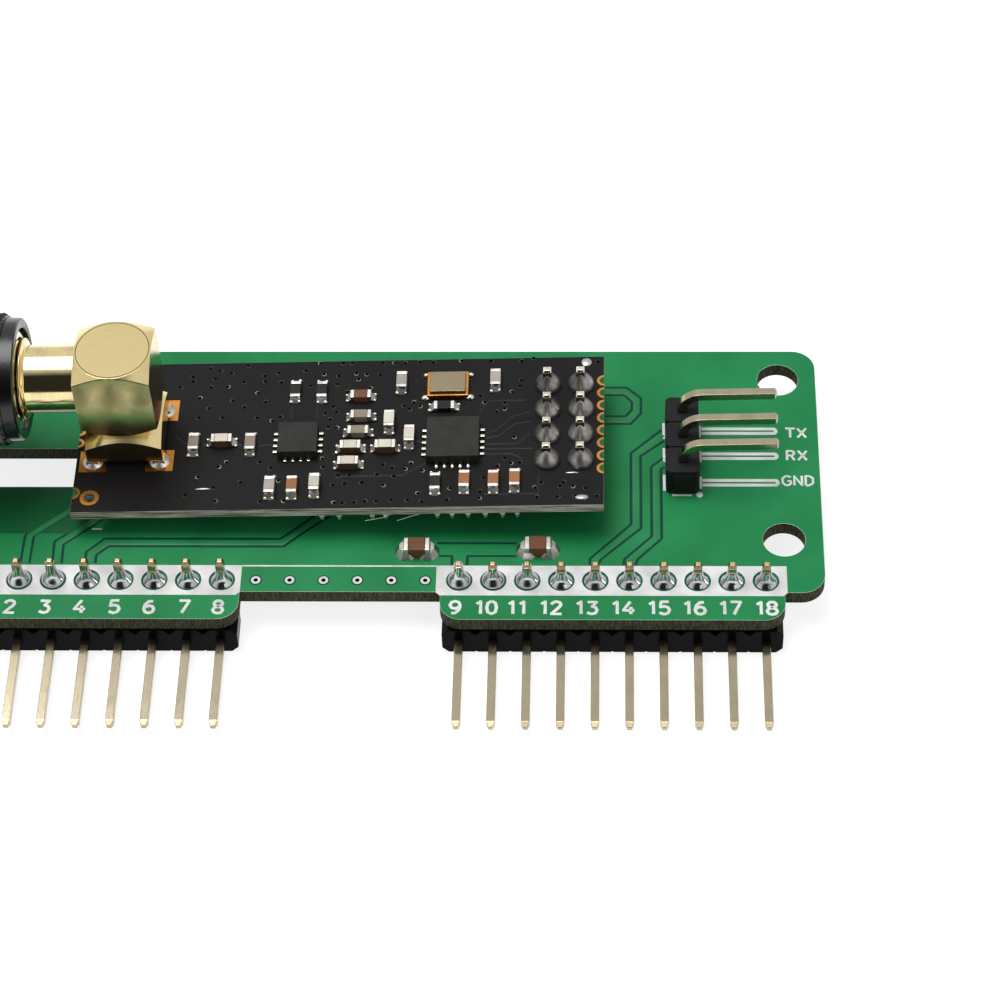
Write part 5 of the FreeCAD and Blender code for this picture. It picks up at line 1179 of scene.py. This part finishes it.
SLEEVE_SHOULDER = [(SLEEVE_BORE, KNURL_START), (SLEEVE_RADIUS, KNURL_START), (SLEEVE_RADIUS, 5.35),
                   (SLEEVE_BORE, 5.35), (SLEEVE_BORE, KNURL_START)]


def knurled(mesh, columns, radius, start, end, height):
    """A tube of raised diamonds: squares are poked, their own edges dissolved, and poked again."""
    rows = max(2, round((end - start) / (2 * math.pi * radius / columns)))
    profile = [(radius, start + (end - start) * row / rows) for row in range(rows + 1)]
    skin = bmesh.new()
    turned(skin, profile, columns, AXIS)
    square_edges = [line for line in skin.edges if not line.is_boundary]
    axis_in = AXIS.inverted()

    def push_out(corners, distance):
        for corner in corners:
            local = axis_in @ corner.co
            local.xy = local.xy.normalized() * distance * MM
            corner.co = AXIS @ local

    push_out(bmesh.ops.poke(skin, faces=skin.faces[:])["verts"], radius)
    bmesh.ops.dissolve_edges(skin, edges=square_edges, use_verts=False)
    diamonds = [face for face in skin.faces if len(face.verts) == 4]
    push_out(bmesh.ops.poke(skin, faces=diamonds)["verts"], radius + height)
    join(mesh, skin)


class RADIOBOARD_OT_antenna(bpy.types.Operator):
    """Knurl the sleeve, and dress the nut, the swivelling base and the whip"""
    bl_idname = "radioboard.antenna"
    bl_label = "Antenna"

    def execute(self, context):
        plastic = settings("plastic_finish")
        nut = bmesh.new()
        turned(nut, NUT, 56, AXIS)
        finish(nut, "antenna_coupling_nut", "steel", stands_for=["antenna_nut"],
               edge=0.05 * MM)
        sleeve = bmesh.new()
        turned(sleeve, SLEEVE_LIP, 64, AXIS)
        knurled(sleeve, plastic.knurl_columns, SLEEVE_RADIUS, KNURL_START, KNURL_END,
                plastic.knurl_height / MM)
        turned(sleeve, SLEEVE_FAR_END, 64, AXIS)
        turned(sleeve, SLEEVE_SHOULDER, 64, AXIS)
        finish(sleeve, "antenna_knurled_sleeve", "rubber",
               stands_for=["antenna_sleeve"])
        dress("antenna_base", "antenna_fork", "rubber", SWIVEL, 0.25 * MM, 3)
        dress("antenna_ferrule", "antenna_swivel_ferrule", "steel", SWIVEL, 0.05 * MM)
        dress("hinge_pin", "antenna_hinge_pin", "steel", SWIVEL, 0.1 * MM)
        dress("antenna_whip", "antenna_rod", "rubber", WHIP, 0.25 * MM, 3)
        dress("antenna_cap", "antenna_end_cap", "rubber", WHIP, 0.4 * MM, 3)
        return {"FINISHED"}


# Strength of the world's light on the object and in its gloss
AMBIENT, MIRRORED = 0.31, 0.8
# The dark side seen in gloss: its middle, and how far from it the dark begins and is full
DARK_SIDE, DARK_ANGLES = (0.04, -0.866, 0.5), (50, 30)


def floor_finish(rgb):
    """A pale floor that the camera sees as white, with the object's shadow kept."""
    material, tree, shader = new_material("Studio floor", Roughness=0.9)
    grain = use_effect(tree, fine_grain, Patch_scale=20.0, Grain_scale=900.0, Smooth=0.85, Rough=0.95)
    tree.links.new(blend(tree, grain["Patches"], opaque(rgb), opaque([c * 0.995 for c in rgb])),
                   shader["Base Color"])
    tree.links.new(grain["Roughness"], shader["Roughness"])
    path = put(tree, "ShaderNodeLightPath").outputs
    seen = arithmetic(tree, "MAXIMUM", path["Is Camera Ray"],
                      arithmetic(tree, "MAXIMUM", path["Is Glossy Ray"], path["Is Transmission Ray"]))
    shader["Emission Color"].default_value = (1, 1, 1, 1)
    tree.links.new(arithmetic(tree, "MULTIPLY", seen, 0.8), shader["Emission Strength"])
    return material


def studio_light(tree):
    """White to the camera, plain grey light on the object, and a darker camera side in gloss."""
    tree.nodes.clear()
    path = put(tree, "ShaderNodeLightPath").outputs
    looks = put(tree, "ShaderNodeTexCoord").outputs["Generated"]
    towards = put(tree, "ShaderNodeVectorMath", {0: looks, 1: DARK_SIDE},
                  operation="DOT_PRODUCT").outputs["Value"]
    dark = spread(tree, towards, *(math.cos(math.radians(angle)) for angle in DARK_ANGLES))
    gloss = blend(tree, dark, (1, 1, 1, 1), (0.03, 0.03, 0.03, 1))
    seen = arithmetic(tree, "MAXIMUM", path["Is Camera Ray"], path["Is Transmission Ray"])
    ambient = put(tree, "ShaderNodeBackground", {"Color": (1, 1, 1, 1), "Strength": AMBIENT})
    mirrored = put(tree, "ShaderNodeBackground", {"Color": gloss, "Strength": MIRRORED})
    shown = put(tree, "ShaderNodeBackground", {"Color": (1, 1, 1, 1), "Strength": 1.0})
    first = put(tree, "ShaderNodeMixShader")
    second = put(tree, "ShaderNodeMixShader")
    for node, factor, one, two in ((first, path["Is Glossy Ray"], ambient, mirrored),
                                   (second, seen, first, shown)):
        tree.links.new(factor, node.inputs[0])
        tree.links.new(one.outputs[0], node.inputs[1])
        tree.links.new(two.outputs[0], node.inputs[2])
    output = put(tree, "ShaderNodeOutputWorld")
    tree.links.new(second.outputs[0], output.inputs[0])


# The stage, in metres. Both lamps look at the origin
FLOOR_SIZE, LAMP_SPAN = 1.5, 0.3
LAMP_PLACES = {"soft_lamp": Vector((-0.12, 0.092, 0.478)), "front_lamp": Vector((0.3, -0.32, 0.3))}
FORWARD, UPWARD = Vector((-0.0318, 0.6444, -0.7640)), Vector((-0.0014, 0.7644, 0.6448))


class RADIOBOARD_OT_stage(bpy.types.Operator):
    """Set the floor, the soft light and the camera"""
    bl_idname = "radioboard.stage"
    bl_label = "Stage"

    def execute(self, context):
        studio = settings("studio")
        scene = bpy.context.scene
        floor_level = CAD_BOX[0][2] - 0.01 * MM
        ground = bmesh.new()
        bmesh.ops.create_grid(ground, x_segments=1, y_segments=1, size=FLOOR_SIZE,
                              matrix=Matrix.Translation((0, 0, floor_level)))
        data = bpy.data.meshes.new("studio_floor")
        ground.to_mesh(data)
        ground.free()
        floor = bpy.data.objects.new("studio_floor", data)
        data.materials.append(floor_finish(studio.floor))
        scene.collection.objects.link(floor)

        for (name, place), power in zip(LAMP_PLACES.items(), (studio.lamp_power, studio.fill_power)):
            light = bpy.data.lights.new(name, "AREA")
            light.energy = power
            light.size = LAMP_SPAN
            lamp = bpy.data.objects.new(name, light)
            lamp.location = place
            lamp.rotation_euler = (-place).to_track_quat("-Z", "Y").to_euler()
            scene.collection.objects.link(lamp)

        world = bpy.data.worlds.new("studio")
        world.use_nodes = True
        scene.world = world
        studio_light(world.node_tree)

        lens = bpy.data.cameras.new("camera")
        lens.lens = studio.lens
        lens.sensor_width = 36
        lens.clip_start, lens.clip_end = 0.001, 10
        camera = bpy.data.objects.new("camera", lens)
        right = FORWARD.cross(UPWARD).normalized()
        up = right.cross(FORWARD).normalized()
        turn = Matrix((right, up, -FORWARD.normalized())).transposed().to_4x4()
        camera.matrix_world = Matrix.Translation(studio.camera_place) @ turn
        scene.collection.objects.link(camera)
        scene.camera = camera
        scene.view_settings.view_transform = "Standard"
        return {"FINISHED"}


OPERATORS = (
    RADIOBOARD_OT_carrier, RADIOBOARD_OT_print, RADIOBOARD_OT_headers, RADIOBOARD_OT_solder,
    RADIOBOARD_OT_power_capacitors, RADIOBOARD_OT_module, RADIOBOARD_OT_chips,
    RADIOBOARD_OT_connector, RADIOBOARD_OT_antenna, RADIOBOARD_OT_stage,
)
GROUPS_OF_SETTINGS = {
    "carrier_finish": CarrierSettings, "module_finish": ModuleSettings, "metal_finish": MetalSettings,
    "plastic_finish": PlasticSettings, "studio": StudioSettings,
}


class RADIOBOARD_PT_panel(bpy.types.Panel):
    """Makes the board's pieces and shows their sizes and colours"""
    bl_idname = "RADIOBOARD_PT_panel"
    bl_label = "Radio development board"
    bl_space_type = "VIEW_3D"
    bl_region_type = "UI"
    bl_category = "Board"

    def draw(self, context):
        for operator in OPERATORS:
            self.layout.operator(operator.bl_idname, text=operator.bl_label)
        for name, group in GROUPS_OF_SETTINGS.items():
            box = self.layout.box()
            box.label(text=group.__doc__)
            for setting in group.__annotations__:
                box.prop(getattr(context.scene, name), setting)


CLASSES = (*GROUPS_OF_SETTINGS.values(), *OPERATORS, RADIOBOARD_PT_panel)
FINISHES = {}


def register():
    for kind in CLASSES:
        bpy.utils.register_class(kind)
    for name, group in GROUPS_OF_SETTINGS.items():
        setattr(bpy.types.Scene, name, PointerProperty(type=group))


def unregister():
    for name in GROUPS_OF_SETTINGS:
        delattr(bpy.types.Scene, name)
    for kind in reversed(CLASSES):
        bpy.utils.unregister_class(kind)


def main():
    register()
    FINISHES.update(make_finishes())
    for operator in OPERATORS:
        group, name = operator.bl_idname.split(".")
        getattr(getattr(bpy.ops, group), name)()


if __name__ == "__main__":
    main()
